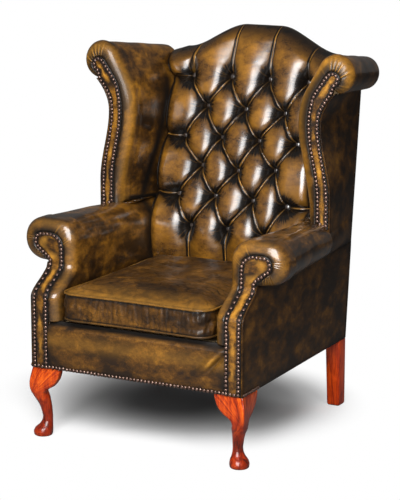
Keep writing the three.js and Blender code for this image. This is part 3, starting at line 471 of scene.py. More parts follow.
# Buttons, nails and steel: one noise varies the colour and roughness, and the height of the buttons and nails
def makeMottled(name, look, spots, stops, rough, bump=None, run=(1, 1, 1)):
    shader = newMaterial(name, look)
    mottle = shader.noise(shader.place(run), *spots)
    even, uneven = rough
    shader.feed(Base_Color=shader.ramp(mottle, *stops), Roughness=mottle * uneven + even)
    if bump:
        shader.feed(Normal=shader.bump(mottle, *bump))
    return shader.owner


woodLook = {
    "leg": ((0.050, 0.0040, 0.0010), (0.25, 0.017, 0.0013), (0.47, 0.050, 0.0024), (0.71, 0.113, 0.0055)),
    # rear: the leg tones made lighter, a painted light for the rear legs, which the lamps light less
    "rear": ((0.080, 0.0060, 0.0014), (0.52, 0.038, 0.0026), (0.86, 0.092, 0.0050), (0.95, 0.150, 0.010)),
    "frame": ((0.28, 0.17, 0.075), (0.42, 0.28, 0.14), (0.58, 0.42, 0.24), (0.64, 0.48, 0.29)),
    "stops": (0.30, 0.44, 0.58, 0.74), "along": (1, 1, 0.10),
    "figure": (42, 5, 0.60, 2.2), "figureShare": 0.62, "pores": (330, 4, 0.65, 0.4), "poreShare": 0.24,
    "broad": (16, 3, 0.55, 0.6), "broadShare": 0.36, "darker": 0.11,
    "fanLines": 11, "fanRise": 0.6, "fanShare": 0.95,
    "knee": (-1.0, 0.9), "kneeEven": 0.62, "kneeShare": 0.16,
}
weaveLook = {"checker": 0.35, "thread": 0.45, "slub": 0.35, "slubScale": 45, "darker": 0.08}


# Rays that spread up over the knee, with a darker shaft below
def kneeFan(shader):
    look, rise = woodLook, shader.mark("rise")
    at = shader.point(shader.mark("fan") * look["fanLines"], rise * look["fanRise"], 0.0)
    lines = (shader.noise(at, 1.0, 3, 0.7) - 0.5) * rise.step(0.0, 0.5) * look["fanShare"]
    return lines + (rise.step(*look["knee"]) - look["kneeEven"]) * look["kneeShare"]


def makeWood(name, tones, gloss, fan=False):
    shader = newMaterial(name, {"Coat Weight": gloss, "Coat Roughness": 0.20, "Specular IOR Level": 0.3})
    look, run = woodLook, shader.place(woodLook["along"])
    figure = shader.noise(run, *look["figure"])
    pores = shader.noise(run, *look["pores"])
    broad = shader.noise(shader.place(), *look["broad"])
    tone = figure * look["figureShare"] + pores * look["poreShare"]
    tone = tone + broad * look["broadShare"] - look["darker"]
    if fan:
        tone = tone + kneeFan(shader)
    colour = shader.ramp(tone, *zip(look["stops"], look[tones]))
    shader.feed(Base_Color=colour, Roughness=0.26 + pores * 0.18, Normal=shader.bump(pores, 0.08, 0.0006))
    return shader.owner


def makeWeave(name, dark, light, pitch):
    shader = newMaterial(name, {"Specular IOR Level": 0.2, "Roughness": 0.85})
    look, level = weaveLook, shader.place((1000 / pitch,) * 3)
    checker = shader.add("ShaderNodeTexChecker", {}, {"Vector": level, "Scale": 1.0}, "Fac")
    thread = shader.noise(shader.place(), 900 / pitch, 3, 0.6)
    slub = shader.noise(shader.place(), look["slubScale"], 4, 0.6)
    tone = checker * look["checker"] + thread * look["thread"] + slub * look["slub"] - look["darker"]
    colour = shader.ramp(tone, (0.2, dark), (0.75, light))
    shader.feed(Base_Color=colour, Normal=shader.bump(tone, 0.5, 0.0008))
    return shader.owner


buttonLeather = makeMottled(
    "button_leather", {"Coat Weight": 1.0, "Coat Roughness": 0.12, "Coat IOR": 1.75},
    spots=(180, 3), stops=((0.35, (0.008, 0.005, 0.004)), (0.7, (0.035, 0.017, 0.007))),
    rough=(0.28, 0.15), bump=(0.1, 0.0006),
)
nailBrass = makeMottled(
    "aged_nail_brass",
    {"Specular IOR Level": 0.5, "Coat Weight": 0.3, "Coat Roughness": 0.2, "Metallic": 0.9},
    spots=(260, 4, 0.6),
    stops=((0.32, (0.060, 0.034, 0.026)), (0.50, (0.165, 0.096, 0.072)), (0.68, (0.34, 0.23, 0.185))),
    rough=(0.34, 0.16), bump=(0.15, 0.0004),
)
steel = makeMottled(
    "spring_steel", {"Metallic": 1.0}, run=(1, 0.08, 1), spots=(300, 4),
    stops=((0.3, (0.20, 0.20, 0.21)), (0.7, (0.42, 0.43, 0.45))), rough=(0.38, 0.15),
)
legWood = makeWood("mahogany_stain", "leg", gloss=0.6, fan=True)
# The rear legs' lighter tones are a painted light
paintedLightRearWood = makeWood("rear_mahogany_painted_light", "rear", gloss=0.6)
frameWood = makeWood("bare_beech", "frame", gloss=0.0)
hessian = makeWeave("deck_hessian", dark=(0.11, 0.075, 0.035), light=(0.34, 0.25, 0.14), pitch=2.4)
webCloth = makeWeave("jute_webbing", dark=(0.16, 0.11, 0.05), light=(0.42, 0.31, 0.17), pitch=3.0)
blackCloth = makeWeave("black_dust_cloth", dark=(0.006, 0.006, 0.006), light=(0.028, 0.028, 0.030), pitch=1.6)
print("stage: leather ready")

# Buttoned back
tufts = {
    "pitch": 123, "rowPitch": 86, "rows": 6, "topDrop": 145, "setIn": 16, "lean": 19.2,
    "depth": 40, "floor": 0.34, "pillow": 0.86, "pit": 11, "pitWidth": 15, "steps": 44,
    "ridge": 1.8, "ridgeWidth": 1.35, "bend": 34, "crestFade": 0.35, "lowFade": 0.65, "flatFade": 0.75,
    "crease": 2.6, "creaseAt": 3.3, "creaseWidth": 1.4, "wander": 1.3, "wanderSize": 45, "sideRun": 44,
    "climb": 60, "climbRise": 1.15, "noPleat": 40, "unevenness": 2.4, "unevenSize": 60,
    "halfWidth": 249.5, "topHalf": 293, "widening": 100, "reach": 5,
    "crestDrop": 73, "crestFlat": 54, "crestShoulder": 250, "crestFall": 0.31, "round": 42,
    "edgeFall": 16, "edgeShare": 0.12, "curl": 14, "tuck": 18, "settle": 62,
    "lowSteps": 64, "crestSteps": 44, "roundSteps": 30, "flapSteps": 5, "flapStep": 6,
    "drift": (((-7, -8), (-2, -4), (0, -4), (2, -6)), ((-5, -4), (-2, -8), (5, -12)),
              ((-5, -8), (-5, -4), (-5, -6), (-7, -8)), ((11, 0), (5, -10), (2, 4)),
              ((7, 0), (5, 4), (7, 0), (-9, -10)), ((0, 0), (-2, 0), (-1, -14))),
}
backLining = {"rail": 31, "web": 53, "railDrop": 50, "crestDrop": 13, "narrow": 0.985}
topRow = body["crest"] - tufts["topDrop"]
lowRow = topRow - tufts["rowPitch"] * (tufts["rows"] - 1)
topRowDepth = depth - tufts["setIn"]
insideSlope = math.tan(math.radians(tufts["lean"]))
crestLow = body["crest"] - tufts["crestDrop"]
outermost = 1.5 * tufts["pitch"]
buttonDrift = [move for row in tufts["drift"] for move in row]


def crestAt(x):
    flat, shoulder = tufts["crestFlat"], tufts["crestShoulder"]
    rise = ease((shoulder - np.abs(x)) / (shoulder - flat))
    return lerp(crestLow, body["crest"], rise) - np.maximum(0, np.abs(x) - shoulder) * tufts["crestFall"]


def pitLine(z):
    low = topRowDepth - (topRow - lowRow) * insideSlope
    above, bend = z - lowRow, tufts["bend"]
    rounded = (np.clip(above, -bend, bend) + bend) ** 2 / (4 * bend) + np.maximum(above - bend, 0)
    curl = tufts["curl"] * shareOf(-above, 0, lowRow - body["deck"]) ** 2
    return low + rounded * insideSlope + curl


def backHalfAt(z):
    return lerp(tufts["halfWidth"], tufts["topHalf"], shareOf(z, crestLow - tufts["widening"], crestLow))


def cellOf(x, z):
    heldZ = np.clip(z, lowRow, topRow)
    heldX = np.clip(x, -outermost, outermost)
    down = (topRow - heldZ) / tufts["rowPitch"]
    across = heldX / tufts["pitch"] + 0.5
    return across + down / 2, across - down / 2


def tuftHeight(x, z):
    first, second = cellOf(x, z)
    u, v = first - np.floor(first), second - np.floor(second)
    cornerX = shareOf(np.abs(x) - outermost, 0, tufts["sideRun"]) / 2
    cornerZ = shareOf(z - topRow, 0, tufts["sideRun"]) / 2
    corner = (cornerX > 0) & (cornerZ > 0)
    u = np.where(corner, cornerX, u)
    v = np.where(corner, cornerZ, v)
    floorU = tufts["floor"] * np.sin(np.pi * u) ** 0.75
    floorV = tufts["floor"] * np.sin(np.pi * v) ** 0.75
    base = floorU + floorV - floorU * floorV / tufts["floor"]
    climb = ease((z - topRow) / tufts["climb"])
    drop = ease((lowRow - z) / tufts["climb"])
    base = np.maximum(base, tufts["floor"] * tufts["climbRise"] * np.maximum(climb, drop))
    puff = np.sqrt(np.clip(1 - (2 * u - 1) ** 2, 0, 1)) * np.sqrt(np.clip(1 - (2 * v - 1) ** 2, 0, 1))
    return base + (1 - base) * puff ** tufts["pillow"]


# Signed distance to the nearest pleat
def pleatDistance(x, z):
    first, second = (cell - np.round(cell) for cell in cellOf(x, z))
    tall, short = z > topRow, z < lowRow
    outside = np.abs(x) > outermost
    across = tufts["pitch"] * tufts["rowPitch"] / math.hypot(tufts["pitch"] / 2, tufts["rowPitch"])
    one, two = first * across, second * across
    nearest = np.where(np.abs(one) < np.abs(two), one, two)
    nearest = np.where((tall | short) & ~outside, first * tufts["pitch"], nearest)
    nearest = np.where(outside & ~tall & ~short, first * 2 * tufts["rowPitch"], nearest)
    nearest = np.where(outside & tall, np.minimum(np.abs(x) - outermost, z - topRow), nearest)
    return np.where(outside & short, tufts["noPleat"], nearest)


def buttonPlaces():
    places = []
    for row in range(tufts["rows"]):
        shares = (-1.5, -0.5, 0.5, 1.5) if row % 2 == 0 else (-1, 0, 1)
        places += [(share * tufts["pitch"], topRow - row * tufts["rowPitch"]) for share in shares]
    return places


# Way across and up from the nearest button
def fromButton(x, z):
    places = np.array(buttonPlaces())
    acrossAll = x[..., None] - places[:, 0]
    upAll = z[..., None] - places[:, 1]
    nearest = np.argmin(np.hypot(acrossAll, upAll), axis=-1)[..., None]
    return (np.take_along_axis(values, nearest, axis=-1)[..., 0] for values in (acrossAll, upAll))


# Place in the even pattern of a point on the back, whose buttons were drawn in by hand, each a little off
def settled(x, z):
    weights, shiftX, shiftZ = 0.05, 0, 0
    for (placeX, placeZ), (moveX, moveZ) in zip(buttonPlaces(), buttonDrift):
        near = bell(np.hypot(x - placeX - moveX, z - placeZ - moveZ), tufts["settle"])
        weights, shiftX, shiftZ = weights + near, shiftX + near * moveX, shiftZ + near * moveZ
    return x - shiftX / weights, z - shiftZ / weights


# Dye, painted shade and rubbed gold of the back: how much, and how far from a button, a pleat, the side or
# the crest; the dark round the buttons is partly dye and partly painted shade, the dark in the pillows'
# hollows and beside the wings is painted shade, and it darkens towards the crest
backDyeAndShade = {
    "pit": 1.30, "pitWidth": 23, "around": 0.42, "aroundWidth": 50, "crease": 1.25, "creaseWidth": 2.3,
    "creaseOut": 0.4, "hollow": 1.05, "ridgeKept": 0.6, "side": 30, "sideShadeWidth": 11,
    "crest": 0.95, "crestFrom": 70, "crestOver": 72, "crestPleat": 1.5,
    "gold": 0.6, "goldWidth": 1.2, "goldSize": 35, "goldClear": 24,
}


# Depth of the buttoned face at x and z, with its dye and painted shade, rubbed gold and way from the buttons
def tuftedFace(realX, realZ):
    x, z = settled(realX, realZ)
    fade = lerp(1, tufts["crestFade"], shareOf(realZ, topRow - 10, body["crest"]) ** 2)
    fade = fade * lerp(1, tufts["lowFade"], ease((lowRow - z) / (lowRow - body["deck"])))
    flat = unrolled(x, z)
    pleat = np.abs(pleatDistance(x, z) + tufts["wander"] * cloud(flat, tufts["wanderSize"], seed=4))
    across, up = fromButton(x, z)
    knob = np.hypot(across, up)
    edge = 1 - shareOf(np.abs(realX) / backHalfAt(realZ), 1, 1 - tufts["edgeShare"])
    free = 1 - bell(knob, tufts["pitWidth"])
    puff = tuftHeight(x, z)
    ridge = tufts["ridge"] * bell(pleat, tufts["ridgeWidth"])
    crease = tufts["crease"] * bell(pleat - tufts["creaseAt"], tufts["creaseWidth"])
    height = tufts["depth"] * fade * puff - tufts["pit"] * bell(knob, tufts["pitWidth"])
    height = height + (ridge - crease) * free * lerp(tufts["flatFade"], 1, fade)
    face = pitLine(realZ) - height + tufts["edgeFall"] * edge ** 2
    look = backDyeAndShade
    gold = bell(pleat, look["goldWidth"])
    # Dark round each button: partly dye, partly painted shade
    stain = look["pit"] * bell(knob, look["pitWidth"]) + look["around"] * bell(knob, look["aroundWidth"])
    fold = bell(pleat - tufts["creaseAt"] - look["creaseOut"], look["creaseWidth"])
    stain = stain + look["crease"] * fold * free
    # Painted shade: the pillows darken towards their hollows
    stain = stain + look["hollow"] * (1 - puff) * (1 - look["ridgeKept"] * gold * free)
    # Painted shade where the back meets the wings
    stain = np.maximum(stain, bell((1 - edge) * look["side"], look["sideShadeWidth"]))
    crest = ease((realZ - crestAt(realX) + look["crestFrom"]) / look["crestOver"])
    stain = np.maximum(stain, look["crest"] * crest * (1 - bell(pleat, look["crestPleat"])))
    rubbed = 0.75 + 1.0 * cloud(flat, look["goldSize"], seed=7)
    wear = look["gold"] * gold * rubbed * (1 - bell(knob, look["goldClear"]))
    marks = {"stain": np.clip(stain, 0, 1), "wear": np.clip(wear, 0, 1)}
    marks.update({"knobX": across, "knobZ": up, "knobFar": knob})
    return face, edge, marks


def backPad():
    stepX = tufts["pitch"] / 2 / tufts["steps"]
    stepZ = tufts["rowPitch"] / tufts["steps"]
    columns = int(tufts["halfWidth"] / stepX)
    flatX = np.arange(-columns, columns + 1) * stepX
    lowZ = np.linspace(body["deck"] - 2, lowRow, tufts["lowSteps"])[:-1]
    midZ = np.arange((tufts["rows"] - 1) * tufts["steps"] + 1) * stepZ + lowRow
    crestSteps, roundSteps, flapSteps = tufts["crestSteps"], tufts["roundSteps"], tufts["flapSteps"]
    levels = [(z, 0.0, 0.0) for z in np.concatenate([lowZ, midZ])]
    levels += [(topRow, (i + 1) / crestSteps, 0.0) for i in range(crestSteps)]
    levels += [(topRow, 1.0, math.pi / 2 * (i + 1) / roundSteps) for i in range(roundSteps)]
    rise, up, angle = (np.array(column)[:, None] for column in zip(*levels))
    turned, beyond = np.sign(flatX)[None, :], np.abs(flatX)[None, :]
    x = np.repeat(flatX[None, :], len(levels), axis=0)
    for _ in range(3):
        z = np.where(up > 0, lerp(rise, crestAt(x) - tufts["round"], up), rise)
        z = z + tufts["round"] * np.sin(angle)
        wide = (backHalfAt(z) + tufts["reach"] - outermost) / (tufts["halfWidth"] - outermost)
        x = turned * (np.minimum(beyond, outermost) + np.maximum(0, beyond - outermost) * wide)
    face, edge, marks = tuftedFace(x, z)
    marks["wear"] = marks["wear"] * np.cos(angle) ** 2
    rear = rearAt(z) - body["skin"]
    y = lerp(face, rear - 2, 1 - np.cos(angle))
    stack = np.stack([x, y, z], axis=-1)
    stack[..., 1] += tufts["unevenness"] * cloud(stack, tufts["unevenSize"], seed=2) * (1 - edge)
    flap = np.repeat(stack[-1:], flapSteps, axis=0)
    flap[..., 1] = rear[-1] + 2
    flap[..., 2] -= (np.arange(flapSteps)[:, None] + 1) * tufts["flapStep"]
    outer = np.concatenate([stack, flap])
    inner = outer.copy()
    railFace = rearAt(inner[..., 2]) - body["skin"] - backLining["rail"]
    webFace = rearAt(inner[..., 2]) - backLining["web"]
    inner[..., 1] = np.where(inner[..., 2] < crestLow - backLining["railDrop"], webFace, railFace)
    inner[..., 2] = np.minimum(inner[..., 2], crestAt(inner[..., 0]) - backLining["crestDrop"])
    inner[..., 0] *= backLining["narrow"]
    roundRows = slice(len(levels) - roundSteps, len(levels))
    over = np.linspace(0, 1, roundSteps)[:, None]
    inner[roundRows, :, 1] = lerp(railFace[roundRows], rear[roundRows] - 3, over)
    inner[len(levels):, :, 1] = rear[-1] - 3
    inner[len(levels):, :, 2] = crestAt(flap[..., 0]) - backLining["crestDrop"] - 1
    for key, mark in marks.items():
        marks[key] = np.concatenate([mark, np.repeat(mark[-1:], flapSteps, axis=0)])
    deep = outer[..., 1]
    a, b, c, d = deep[:-1, :-1], deep[:-1, 1:], deep[1:, 1:], deep[1:, :-1]
    made = skinMesh("buttoned_back", outer, inner, marks, diagonals=(a + c) > (b + d))
    finishPiece(made, "chair", "cover_leather", backLeather, "back_pad", fill=0.8)


# Buttons: a flattened dome drawn into each pit
button = {"width": 19, "dome": 0.5, "proud": 4.0}


def openEdit(made):
    bpy.ops.object.select_all(action="DESELECT")
    made.select_set(True)
    bpy.context.view_layer.objects.active = made
    bpy.ops.object.mode_set(mode="EDIT")
    bpy.ops.mesh.select_all(action="SELECT")


def closeEdit():
    bpy.ops.mesh.select_all(action="SELECT")
    bpy.ops.mesh.normals_make_consistent(inside=False)
    bpy.ops.object.mode_set(mode="OBJECT")
    bpy.ops.object.shade_smooth()


# Half a ball, flattened, with its dome along z and a turned-in rim
def makeDome(name, width, dome, segments, rings):
    bpy.ops.object.select_all(action="DESELECT")
    bpy.ops.mesh.primitive_uv_sphere_add(segments=segments, ring_count=rings, radius=width / 2 * mm)
    made = bpy.context.active_object
    made.name = name
    openEdit(made)
    bpy.ops.mesh.bisect(plane_co=(0, 0, 0), plane_no=(0, 0, 1), clear_inner=True, use_fill=True)
    bpy.ops.mesh.inset(thickness=width * 0.08 * mm)
    bpy.ops.mesh.select_all(action="SELECT")
    bpy.ops.transform.resize(value=(1, 1, dome))
    closeEdit()
    return made


# Copies of one small piece at many places, each facing its own way, joined into one row
def scatter(pattern, name, places):
    copies = []
    for at, facing in places:
        mesh = pattern.data.copy()
        turn = Vector(facing).to_track_quat("Z", "Y").to_matrix().to_4x4()
        mesh.transform(Matrix.Translation(Vector(at) * mm + Vector((0, bodyFront, 0))) @ turn)
        copies.append(newObject(name, mesh))
    bpy.ops.object.select_all(action="DESELECT")
    for copy in copies:
        copy.select_set(True)
    bpy.context.view_layer.objects.active = copies[0]
    bpy.ops.object.join()
    copies[0].name = name
    return copies[0]


def backButtons():
    pattern = makeDome("button_pattern", button["width"], button["dome"], 20, 12)
    facing = (0, -math.cos(math.radians(tufts["lean"])), math.sin(math.radians(tufts["lean"])))
    places = []
    for (evenX, evenZ), (moveX, moveZ) in zip(buttonPlaces(), buttonDrift):
        x, z = evenX + moveX, evenZ + moveZ
        for _ in range(4):
            placeX, placeZ = settled(x, z)
            x, z = x + evenX - placeX, z + evenZ - placeZ
        y = float(tuftedFace(np.array([x]), np.array([z]))[0][0])
        places.append(((x, y - button["proud"], z), facing))
    finishPiece(scatter(pattern, "back_buttons", places), "chair", "cover_leather", buttonLeather)
    bpy.data.objects.remove(pattern)


backPad()
backButtons()
print("stage: back ready")

# Arms
arm = {
    "thickness": 89, "overhang": 82, "turnRadius": 62, "nose": 30, "strip": 49.7,
    "headDrop": 36, "headInset": 40, "headRadius": 28, "headTurn": 44, "lowAngle": -60, "topAngle": 94,
    "wall": 20, "end": 646, "counts": (56, 26, 110, 14),
    "gather": 0.9, "gatherPitch": 9, "gatherFrom": 200, "gatherOver": 40, "gatherWidth": 20, "gatherStart": 5,
    "wave": 1.6, "waveSize": 70, "ripple": 1.1, "rippleSize": 26, "rippleFrom": 50, "facingReach": 50,
    "dye": {"ragged": 6, "patches": 9, "patchSize": 45, "seeds": (21, 23), "edge": 0.25, "pleat": 0.75,
            "back": 34, "backShadeWidth": 30, "gold": 0.35, "rim": 0.16, "rimAt": 26, "rimWidth": 14},
    # The dark band under the outer roll, along its seam, is a painted shade
    "dyeReach": 9, "underShade": 0.9, "underShadeWidth": 9, "underShadeReach": 20,
}
# The lining of a pad's nose lies this far in, and this much deeper where the nose ends
lining = {"gap": 0.4, "in": 10, "deeper": 28, "end": 40, "nearest": 2}
wing = {
    "depth": 262, "armDrop": 12, "armReach": 49, "footReach": 41, "waistReach": 10, "topReach": 49,
    "footInset": 28, "waistInset": 70, "topInset": 37,
    "stripFoot": 3, "stripWaist": 33, "stripTop": 2,
    "footSlope": 28, "scrollReach": 44, "scrollDrop": 91, "scrollRadius": 56, "scrollRise": 22,
    "eyeInset": 2, "eyeDrop": 13, "eyeRadius": 23,
    "rearInset": 81, "rearTopInset": 45, "rearScrollInset": 1, "rearScrollDrop": 30,
    "rearScrollRadius": 47, "rearUnderDrop": 16, "nose": 30, "tail": 10, "wall": 18, "rearWall": 42,
    "from": 155, "to": -75, "rearTo": -150, "waistShare": 0.757, "shelfShare": 0.18, "counts": (120, 110),
    "gather": 0.8, "gatherPitch": 16, "gatherFrom": 400, "gatherOver": 40, "gatherWidth": 24,
    "gatherStart": 6, "wave": 1.8, "waveSize": 80,
    "foldDepth": 1.6, "foldAt": 34, "foldWidth": 16, "foldPitch": 8.5,
    "dye": {"ragged": 8, "patches": 38, "patchSize": 60, "seeds": (22, 26), "edge": 0.3, "pleat": 1.1,
            "back": 32, "backShadeWidth": 25, "gold": 0.4, "rim": 0.24, "rimAt": 30, "rimWidth": 16},
    # The dark where the wing's foot meets the arm's top is a painted shade
    "dyeReach": 12, "scrollDye": 11, "lowReach": 420, "overShade": 1.4, "overShadeAt": 5,
    "seat": 8, "tuck": 11, "tuckFrom": 6, "tuckOver": 10, "over": 3.5, "overAt": 22, "overWidth": 14,
    "tailFrom": 0.965, "wallFrom": 0.9, "wallOver": 0.08,
}
wingFront = depth - wing["depth"]
armInside = halfWidth - arm["thickness"]
stripOutside = halfWidth - body["skin"]
stripInside = stripOutside - arm["strip"]
headTop = body["armTop"] - arm["headDrop"]
headX = halfWidth + arm["overhang"] - arm["headInset"] - arm["headRadius"]
headZ = headTop - arm["headRadius"]
headTurnZ = headTop - arm["headTurn"]
noseTurns = np.linspace(0, math.pi / 2, 11)


def armFacingEdge(foot, grow):
    up, turn, head, under = arm["counts"]
    inner = stripInside - grow
    eye = arcOf(headX, headZ, arm["headRadius"] + grow, 90, arm["lowAngle"], head)
    return np.concatenate([
        lineOf((inner, foot), (inner, headTurnZ), up)[:-1],
        arcOf(stripInside + arm["headTurn"], headTurnZ, arm["headTurn"] + grow, 180, arm["topAngle"], turn),
        eye[1:],
        lineOf(eye[-1], (stripOutside + grow, body["seam"] + 6 - grow), under)[1:],
    ])


def armOuterEdge(foot, grow):
    return lineOf((stripOutside + grow, foot), (stripOutside + grow, body["seam"]), 90)


def armSkinEdge(y, grow):
    up, turn, head, under = arm["counts"]
    share = float(shareOf(y, body["setback"], wingFront))
    crown = body["armTop"] - wing["armDrop"] * share
    low = float(seamAt(y))
    radius = (crown - low) / 2
    reach = halfWidth + lerp(arm["overhang"], wing["armReach"], share)
    reach = min(reach, lerp(reach, stripOutside - 4, float(shareOf(y, wingFront, wingFront + 14))))
    turnZ = crown - arm["turnRadius"]
    turnX = armInside + arm["turnRadius"]
    return np.concatenate([
        lineOf((armInside - grow, body["deck"]), (armInside - grow, turnZ), up)[:-1],
        arcOf(turnX, turnZ, arm["turnRadius"] + grow, 180, arm["topAngle"], turn),
        arcOf(reach - radius, crown - radius, radius + grow, 90, -90, head)[1:],
        lineOf((reach - radius, low - grow), (stripOutside, low - grow), under)[1:],
    ])


# Way travelled over the surface from its first row
def travelled(grid):
    steps = np.linalg.norm(np.diff(grid, axis=0), axis=2)
    return np.concatenate([np.zeros((1, grid.shape[1])), np.cumsum(steps, axis=0)])


# The nose of a pad rolls from its facing's edge to its own skin
def noseRows(facing, faceSkin, frontAt, nose):
    outer, inner = [], []
    for turn in noseTurns:
        edge = lerp(facing, faceSkin, math.sin(turn))
        outer.append(standAt(edge, frontAt(edge[:, 1]) - facingProud + nose * (1 - math.cos(turn))))
        deeper = lining["in"] + lining["deeper"] * math.sin(turn)
        inner.append(standAt(facing, frontAt(facing[:, 1]) + deeper))
    return outer, inner


# Dye, painted shade and rubbed gold of a pad: dark along its facing and in its pleats, and a painted shade
# beside the back
def padMarks(look, outer, travel, pleats, reach, beside):
    ragged = look["ragged"] * cloud(outer, 16, seed=look["seeds"][0])
    ragged = ragged + look["patches"] * np.maximum(0, cloud(outer, look["patchSize"], seed=look["seeds"][1]))
    stain = 0.92 * ease((reach + ragged - travel) / 7) + look["edge"] * bell(travel, 22)
    stain = np.clip(stain + look["pleat"] * np.maximum(0, -pleats), 0, 1)
    # Painted shade beside the back, where the pad meets it
    fromBack = outer[..., 1] - pitLine(outer[..., 2]) + look["back"]
    stain = np.maximum(stain, 0.95 * bell(fromBack, look["backShadeWidth"]) * beside)
    wear = look["gold"] * np.maximum(0, pleats) + look["rim"] * bell(travel - look["rimAt"], look["rimWidth"])
    return stain, wear


# How far the gathers stand out, by the way travelled from the facing
def gatherFade(pad, along, travel):
    scroll = ease((along - pad["gatherFrom"]) / pad["gatherOver"])
    return scroll, scroll * bell(travel - 8, pad["gatherWidth"]) * ease(travel / pad["gatherStart"])


def armPad(side, name):
    facing = armFacingEdge(body["deck"], lining["gap"])
    faceSkin = armSkinEdge(0, 0)
    outer, inner = noseRows(facing, faceSkin, rakeAt, arm["nose"])
    merge = body["setback"] + 2 * arm["nose"]
    start = rakeAt(faceSkin[:, 1]) - facingProud + arm["nose"]
    for share in np.linspace(0, 1, 22)[1:]:
        hollow = lerp(facing, armSkinEdge(0, -arm["wall"]), ease(share * 3))
        outer.append(standAt(faceSkin, lerp(start, merge, share)))
        inner.append(standAt(hollow, lerp(rakeAt(hollow[:, 1]) + lining["end"], merge, share)))
    for y in np.concatenate([np.arange(merge + 4, wingFront, 4.5), np.arange(wingFront, arm["end"], 5)]):
        outer.append(standAt(armSkinEdge(y, 0), y))
        inner.append(standAt(armSkinEdge(y, -arm["wall"]), y))
    outer, inner = np.array(outer), np.array(inner)
    along = lengthAlong(faceSkin)[None, :]
    back = outer[..., 1] - rakeAt(outer[..., 2])
    travel = travelled(outer)
    scroll, fade = gatherFade(arm, along, travel)
    phase = along / arm["gatherPitch"] + 0.5 * np.sin(along / 31) + 0.35 * np.sin(along / 13 + 1)
    gather = np.sin(phase * 2 * np.pi) * np.clip(0.35 + 2.2 * cloud(unrolled(along, 0), 30, seed=24), 0, 1.2)
    amount = arm["gather"] * gather * fade + arm["wave"] * cloud(outer, arm["waveSize"], (1, 1.6, 1), seed=3)
    ripple = cloud(outer, arm["rippleSize"], (1, 2.5, 1), seed=4) * ease(back / arm["rippleFrom"])
    outer = swell(outer, inner, amount + arm["ripple"] * ripple)
    patch = (0.5 + 1.1 * cloud(unrolled(along, back), 24, seed=13)) * bell(travel - 6, 24)
    nearFacing = ease(np.clip(1 - travel / arm["facingReach"], 0, 1) * 1.5)
    fold = np.clip(gather, -1, 1) * scroll * nearFacing * np.clip(patch, 0.1, 1)
    inside = outer[..., 0] < armInside + arm["turnRadius"]
    stain, wear = padMarks(arm["dye"], outer, travel, fold, arm["dyeReach"], inside)
    # Painted shade under the outer roll, along its seam
    under = bell(outer[..., 2] - seamAt(outer[..., 1]), arm["underShadeWidth"])
    under = under * (outer[..., 0] > halfWidth - arm["underShadeReach"])
    stain = np.maximum(stain, arm["underShade"] * under)
    made = skinMesh("arm_cover_" + name, outer, inner, {"stain": stain, "wear": wear}, side)
    finishPiece(made, "chair", "cover_leather", armLeather, "arm_pad_" + name, fill=0.85)


# Wings
wingArmTop = body["armTop"] - wing["armDrop"]
scrollZ = body["crest"] - wing["scrollDrop"]
scrollUnder = scrollZ - wing["scrollRadius"]
scrollStart = scrollZ - wing["scrollRise"]
rearUnder = scrollUnder - wing["rearUnderDrop"]
scrollX = halfWidth + wing["scrollReach"]
waistHeight = lerp(wingArmTop, scrollUnder, wing["waistShare"])
shelfHeight = lerp(wingArmTop, scrollUnder, wing["shelfShare"])
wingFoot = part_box("arm_rail_left")[1].z / mm - wing["seat"]


def wingSide(z, foot, waist, top, shelf, end):
    low = halfWidth + lerp(waist, foot, ease((waistHeight - z) / (waistHeight - shelf)))
    high = halfWidth + lerp(waist, top, np.maximum(0, (z - waistHeight) / (end - waistHeight)) ** 2)
    return np.where(z < waistHeight, low, high)


def wingOuterFront(z):
    return wingSide(z, wing["footReach"], wing["waistReach"], wing["topReach"], shelfHeight, scrollUnder)


def wingFacingEdge(foot, grow):
    rise, curl = wing["counts"]
    z = np.linspace(foot, scrollUnder, rise)
    insets = -wing["stripFoot"], -wing["stripWaist"], -wing["stripTop"]
    x = wingSide(z, *insets, shelfHeight, scrollStart) - grow
    eye = arcOf(scrollX - wing["eyeInset"], scrollZ - wing["eyeDrop"], wing["eyeRadius"] + grow,
                wing["from"], wing["to"], curl)
    return np.concatenate([np.stack([x, z], axis=1), eye])


def wingOuterEdge(foot, grow):
    z = np.linspace(foot, scrollUnder, 100)
    return np.stack([wingOuterFront(z) - body["skin"] + grow, z], axis=1)


def wingSkinEdge(share, grow):
    rise, curl = wing["counts"]
    under = lerp(scrollUnder, rearUnder, share)
    z = np.linspace(wingFoot, under, rise)
    front = wingSide(z, -wing["footInset"], -wing["waistInset"], -wing["topInset"], wingArmTop, scrollStart)
    rear = wingSide(z, -wing["rearInset"], -wing["rearInset"], -wing["rearTopInset"], wingArmTop, scrollStart)
    scroll = arcOf(
        lerp(scrollX, halfWidth - wing["rearScrollInset"], share),
        scrollZ - wing["rearScrollDrop"] * share,
        lerp(wing["scrollRadius"], wing["rearScrollRadius"], share) + grow,
        wing["from"], lerp(wing["to"], wing["rearTo"], share), curl,
    )
    return np.concatenate([np.stack([lerp(front, rear, share) - grow, z], axis=1), scroll])


def smoothEdge(edge, times=3):
    for _ in range(times):
        middle = (edge[:-2] + edge[2:] + 2 * edge[1:-1]) / 4
        edge = np.concatenate([edge[:1], middle, edge[-1:]])
    return edge


